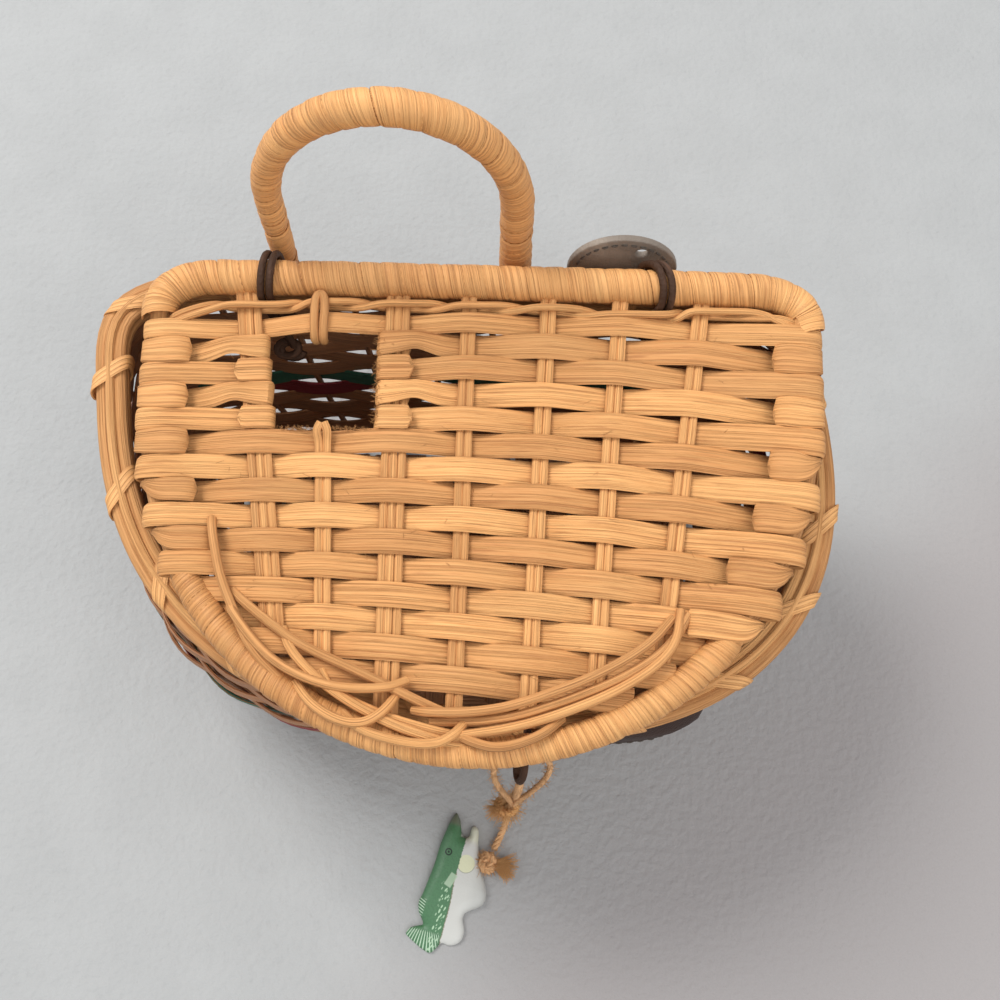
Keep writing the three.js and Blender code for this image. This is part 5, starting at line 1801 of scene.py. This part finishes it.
class CREEL_OT_laces(BuildStep, bpy.types.Operator):
    """Ties the hinge laces and the lace loop at the front"""

    bl_idname = "creel.laces"
    bl_label = "Laces"

    def build(self, creel):
        for side, place in zip(("left", "right"), lace_places(creel.lid)):
            self.hinge_lace(creel, side, place)
        self.keeper(creel)

    def hinge_lace(self, creel, side, place):
        lid, lace = creel.lid, creel.leather.lace
        reach = lid.rod_radius + CLEAR + lace + 0.25 * MM
        middle = lid.shift + place
        for number, sign in ((1, -1), (2, 1)):
            x = middle + sign * (lace + CLEAR / 2)
            points = [(middle, lid.hinge_y - reach, lid.hinge_z - 11 * MM)]
            points.append((x, lid.hinge_y - reach - 0.3 * MM, lid.hinge_z - 6 * MM))
            for i in range(9):
                turn = math.pi * (1 - i / 8)
                slant = (i / 8 - 0.5) * (1.6 if side == "left" else -5) * MM
                slant += (0 if side == "left" else 2.2) * MM * math.sin(math.pi * i / 8)
                points.append(
                    (x + slant, lid.hinge_y + reach * math.cos(turn), lid.hinge_z + reach * math.sin(turn))
                )
            lean = (0.8 if side == "left" else -2.5) * MM
            points.append((x + lean, lid.hinge_y + reach, lid.hinge_z - 7 * MM))
            points.append((x + lean, lid.hinge_y + reach + 3.2 * MM, lid.hinge_z - 14 * MM))
            piece = sweep(f"lace_{side}_{number}", softened(points), circle(lace, 10), twist="MINIMUM")
            finished(piece, "basket", finish_of(creel, "lace"), f"lace_{side}_{number}", slot="lace_leather")
        route = []
        for i in range(40):
            turn = TURN * 2.2 * i / 39
            route.append(
                (
                    middle + (4 if side == "left" else 0) * MM + 2.6 * MM * math.cos(turn),
                    lid.hinge_y - reach + 1.3 * MM * math.sin(turn) - 0.6 * MM,
                    lid.hinge_z - 12.2 * MM + 1.6 * MM * math.sin(turn * 0.8 + 0.4),
                )
            )
        knot = sweep(f"lace_{side}_knot", route, circle(lace * 1.05, 10), twist="MINIMUM")
        if side == "left":
            tails = []
            for k in range(34):
                turn = TURN * 2 * k / 33
                tails.append(
                    (
                        middle + 1.2 * MM + k * 0.07 * MM + 2.8 * MM * math.cos(turn),
                        lid.hinge_y - reach - 3.6 * MM + 1.5 * MM * math.sin(turn),
                        lid.hinge_z - 20.5 * MM + 1.6 * MM * math.sin(turn * 0.9 + 1) - k * 0.05 * MM,
                    )
                )
            tails.insert(0, (middle + 2 * MM, lid.hinge_y - reach - 1 * MM, lid.hinge_z - 14 * MM))
            coil = sweep("lace_tails", tails, circle(lace * 1.1, 10), twist="MINIMUM")
            knot = joined(knot.name, [knot, coil])
        finished(knot, "basket", finish_of(creel, "lace"), f"lace_{side}_knot", slot="lace_leather")

    def keeper(self, creel):
        basket, lace = creel.basket, creel.leather.lace
        face = basket.middle_y - basket.front - CLEAR / 2 - basket.rim_width
        middle = Vector((17.5 * MM, face - CLEAR - 5 * MM, 84 * MM))
        ring = []
        for i in range(40):
            turn = TURN * i / 40
            ring.append(
                (
                    middle.x + 0.9 * MM * math.sin(turn),
                    middle.y + 4 * MM * math.cos(turn),
                    middle.z + 4 * MM * math.sin(turn),
                )
            )
        loop = sweep("keeper_loop", ring, circle(lace, 10), closed=True, twist="MINIMUM")
        wrap = []
        top = rim_top_z(creel, basket.middle_y - basket.front)
        for i in range(40):
            turn = TURN * i / 40
            c, s = math.cos(turn), math.sin(turn)
            wrap.append(
                (
                    middle.x + 1.4 * MM * s,
                    basket.middle_y - basket.front + 6 * MM * math.copysign(abs(c) ** 0.7, c),
                    top - 3 * MM + 4.8 * MM * math.copysign(abs(s) ** 0.7, s),
                )
            )
        band = sweep("keeper_band", wrap, circle(lace, 10), closed=True, twist="MINIMUM")
        piece = joined("keeper_loop", [loop, band])
        finished(piece, "basket", finish_of(creel, "lace"), "keeper_loop", slot="lace_leather")


class CREEL_OT_leather(BuildStep, bpy.types.Operator):
    """Cuts the tab behind the hinge, and the front pocket with its flap"""

    bl_idname = "creel.leather"
    bl_label = "Leather"

    def build(self, creel):
        self.tab(creel)
        self.pocket(creel)

    def tab(self, creel):
        sizes, basket = creel.leather, creel.basket
        half = sizes.tab_half
        shoulder = sizes.tab_top - half

        def arch(size):
            turns = [math.pi * i / 24 for i in range(25)]
            return [(size * math.cos(turn), shoulder + size * math.sin(turn)) for turn in turns]

        outline = [(-half, sizes.tab_bottom), (half, sizes.tab_bottom), *arch(half)]
        hole = [(4.5 * MM + x, 112.5 * MM + y) for x, y in circle(1.7 * MM, 14)]
        piece = plate("back_tab", outline, sizes.tab_thick, holes=[hole[::-1]], bevel=0.45 * MM)
        inset = 2.1 * MM
        seam = [(half - inset, sizes.tab_bottom + inset), *arch(half - inset)]
        seam.append((-half + inset, sizes.tab_bottom + inset))
        y = (
            basket.middle_y + basket.back + CLEAR / 2 + basket.rim_width + LASH_ROOM + CLEAR
            + sizes.tab_thick / 2
        )
        place = Matrix.Translation((sizes.tab_x, y, 0)) @ Matrix.Rotation(math.pi / 2, 4, "X")
        put(piece, place)
        finished(piece, "basket", finish_of(creel, "tab"), "back_tab", slot="dark_leather")
        threads = []
        for lift in (1, -1):
            route = [(x, z, lift * sizes.tab_thick / 2) for x, z in seam]
            threads.append(stitches(f"tab_seam_{lift}", route, 2.6 * MM, 0.28 * MM, (0, 0, lift)))
        thread = joined("tab_stitches", threads)
        put(thread, place)
        finished(thread, "basket", finish_of(creel, "thread"), slot="dark_leather")

    def pocket(self, creel):
        sizes = creel.leather
        left, right = -33 * MM, 63 * MM
        low, high = sizes.pocket_bottom, sizes.pocket_top
        depth = sizes.pocket_depth

        def swell(across):
            return math.sqrt(max(0.0, 1 - (2 * across - 1) ** 12))

        def pocket_spot(x, z, across, up):
            out = 0.4 + 0.6 * min(1.0, max(0.0, (across - 0.76) / 0.14))
            full = (0.12 + 0.88 * swell(across)) * out
            bottom = min(1.0, 0.25 + 3.2 * up)
            return front_face(creel, x, z, 1.0 * MM + (depth - 1.9 * MM) * full * bottom)

        def flap_spot(x, z, across, up):
            out = 0.4 + 0.6 * min(1.0, max(0.0, (across - 0.76) / 0.14))
            full = (0.35 + 0.65 * swell(across)) * out
            near = 1.6 * MM + (depth - 1.1 * MM) * full
            fold = max(0.0, (up - 0.72) / 0.28)
            corner = abs(2 * across - 1) ** 5 * 5 * MM * (1 - up) ** 2
            return front_face(creel, x, z + corner, near * (1 - fold**2) + 1.3 * MM * fold**2)

        body = shell("front_pocket", left, right, low, high, 40, 16, pocket_spot, 1.2 * MM)
        finished(body, "basket", finish_of(creel, "leather"), "front_pocket", slot="dark_leather")
        flap = shell(
            "pocket_flap",
            left - 1 * MM,
            right + 1 * MM,
            sizes.flap_bottom,
            sizes.flap_top,
            44,
            14,
            flap_spot,
            1.5 * MM,
        )
        finished(flap, "basket", finish_of(creel, "leather"), "pocket_flap", slot="dark_leather")
        threads = []
        for name, spot_at, edge, up, lift in (
            ("flap_seam", flap_spot, sizes.flap_bottom, 0.08, -0.5 * MM),
            ("pocket_seam", pocket_spot, low, 0.06, -0.38 * MM),
        ):
            route = []
            for i in range(41):
                across = 0.03 + 0.94 * i / 40
                spot = spot_at(left + (right - left) * across, edge + 2.2 * MM, across, up)
                route.append(tuple(spot + Vector((0, lift, 0))))
            threads.append(stitches(name, route, 3 * MM, 0.28 * MM, (0, -1, 0)))
        thread = joined("pocket_stitches", threads)
        finished(thread, "basket", finish_of(creel, "thread"), slot="dark_leather")


class CREEL_OT_stage(BuildStep, bpy.types.Operator):
    """Sets the floor, the lights and the pale surroundings"""

    bl_idname = "creel.stage"
    bl_label = "Stage"

    def build(self, creel):
        deselect()
        bpy.ops.mesh.primitive_plane_add(size=6, location=(0, 0, 0))
        floor = bpy.context.object
        floor.name = "floor"
        finish = Finish("floor", roughness=0.75)
        where = finish.space()
        grit = finish.speckle(where, 380, detail=3, roughness=0.5)
        cloud = finish.speckle(where, 40, detail=5, roughness=0.6)
        base = tuple(creel.colours.floor)
        tint = finish.blend(cloud.within(0.3, 0.7) * 0.35, base, tuple(c * 0.86 for c in base))
        tint = finish.blend((0.45 - grit).within(0.0, 0.2) * 0.1, tint, tuple(c * 0.7 for c in base))
        # Painted shade: the floor's colour gets darker and warmer towards the lower right, on top of the
        # shading the lamps give.
        parts = finish.node("ShaderNodeSeparateXYZ", Vector=where)
        painted_shade_toward_lower_right = Wire(finish, parts.outputs[0]) - Wire(finish, parts.outputs[1])
        tint = finish.blend(painted_shade_toward_lower_right.within(0.06, 0.17), tint, (base[0] * 0.84, base[1] * 0.775, base[2] * 0.77))
        floor.data.materials.append(finish.paint(tint, 0.8, grit + cloud * 0.5, depth=0.0006))
        for name, place, aim, size, power in (
            ("key", (-0.8, 0.72, 1.5), (0.0, 0.0, 0.06), 0.75, 26),
            ("fill", (0.7, -0.7, 1.3), (0.0, 0.0, 0.05), 1.4, 10.5),
        ):
            bpy.ops.object.light_add(type="AREA", location=place)
            light = bpy.context.object
            light.name = name
            light.data.size = size
            light.data.energy = power
            light.rotation_euler = (Vector(place) - Vector(aim)).to_track_quat("Z", "Y").to_euler()
        world = bpy.context.scene.world or bpy.data.worlds.new("world")
        bpy.context.scene.world = world
        world.use_nodes = True
        background = world.node_tree.nodes["Background"]
        background.inputs["Color"].default_value = (0.92, 0.95, 1.0, 1.0)
        background.inputs["Strength"].default_value = 0.78
        bpy.context.scene.view_settings.view_transform = "Standard"


STEPS = (
    CREEL_OT_camera,
    CREEL_OT_charm,
    CREEL_OT_rows,
    CREEL_OT_spokes,
    CREEL_OT_lid_frame,
    CREEL_OT_border,
    CREEL_OT_basket,
    CREEL_OT_rim,
    CREEL_OT_handle,
    CREEL_OT_laces,
    CREEL_OT_leather,
    CREEL_OT_stage,
)


class CREEL_PT_panel(bpy.types.Panel):
    """Lists the steps and sizes of the creel"""

    bl_idname = "CREEL_PT_panel"
    bl_label = "Fishing Creel Bag"
    bl_space_type = "VIEW_3D"
    bl_region_type = "UI"
    bl_category = "Creel"

    def draw(self, context):
        column = self.layout.column(align=True)
        for step in STEPS:
            column.operator(step.bl_idname)
        creel = context.scene.creel
        for group in (creel.lid, creel.basket, creel.handle, creel.leather, creel.charm, creel.colours):
            box = self.layout.box()
            box.label(text=type(group).__name__)
            for key in group.bl_rna.properties.keys():
                if key not in ("rna_type", "name"):
                    box.prop(group, key)


GROUPS = (CreelLid, CreelBasket, CreelHandle, CreelLeather, CreelCharm, CreelColours, CreelSettings)


def register():
    for item in (*GROUPS, *STEPS, CREEL_PT_panel):
        bpy.utils.register_class(item)
    bpy.types.Scene.creel = bpy.props.PointerProperty(type=CreelSettings)


def unregister():
    del bpy.types.Scene.creel
    for item in reversed((*GROUPS, *STEPS, CREEL_PT_panel)):
        bpy.utils.unregister_class(item)


def main():
    register()
    for step in STEPS:
        group, name = step.bl_idname.split(".")
        result = getattr(getattr(bpy.ops, group), name)()
        if result != {"FINISHED"}:
            raise RuntimeError(f"{step.bl_label} did not finish")
    deselect()


if __name__ == "__main__":
    main()
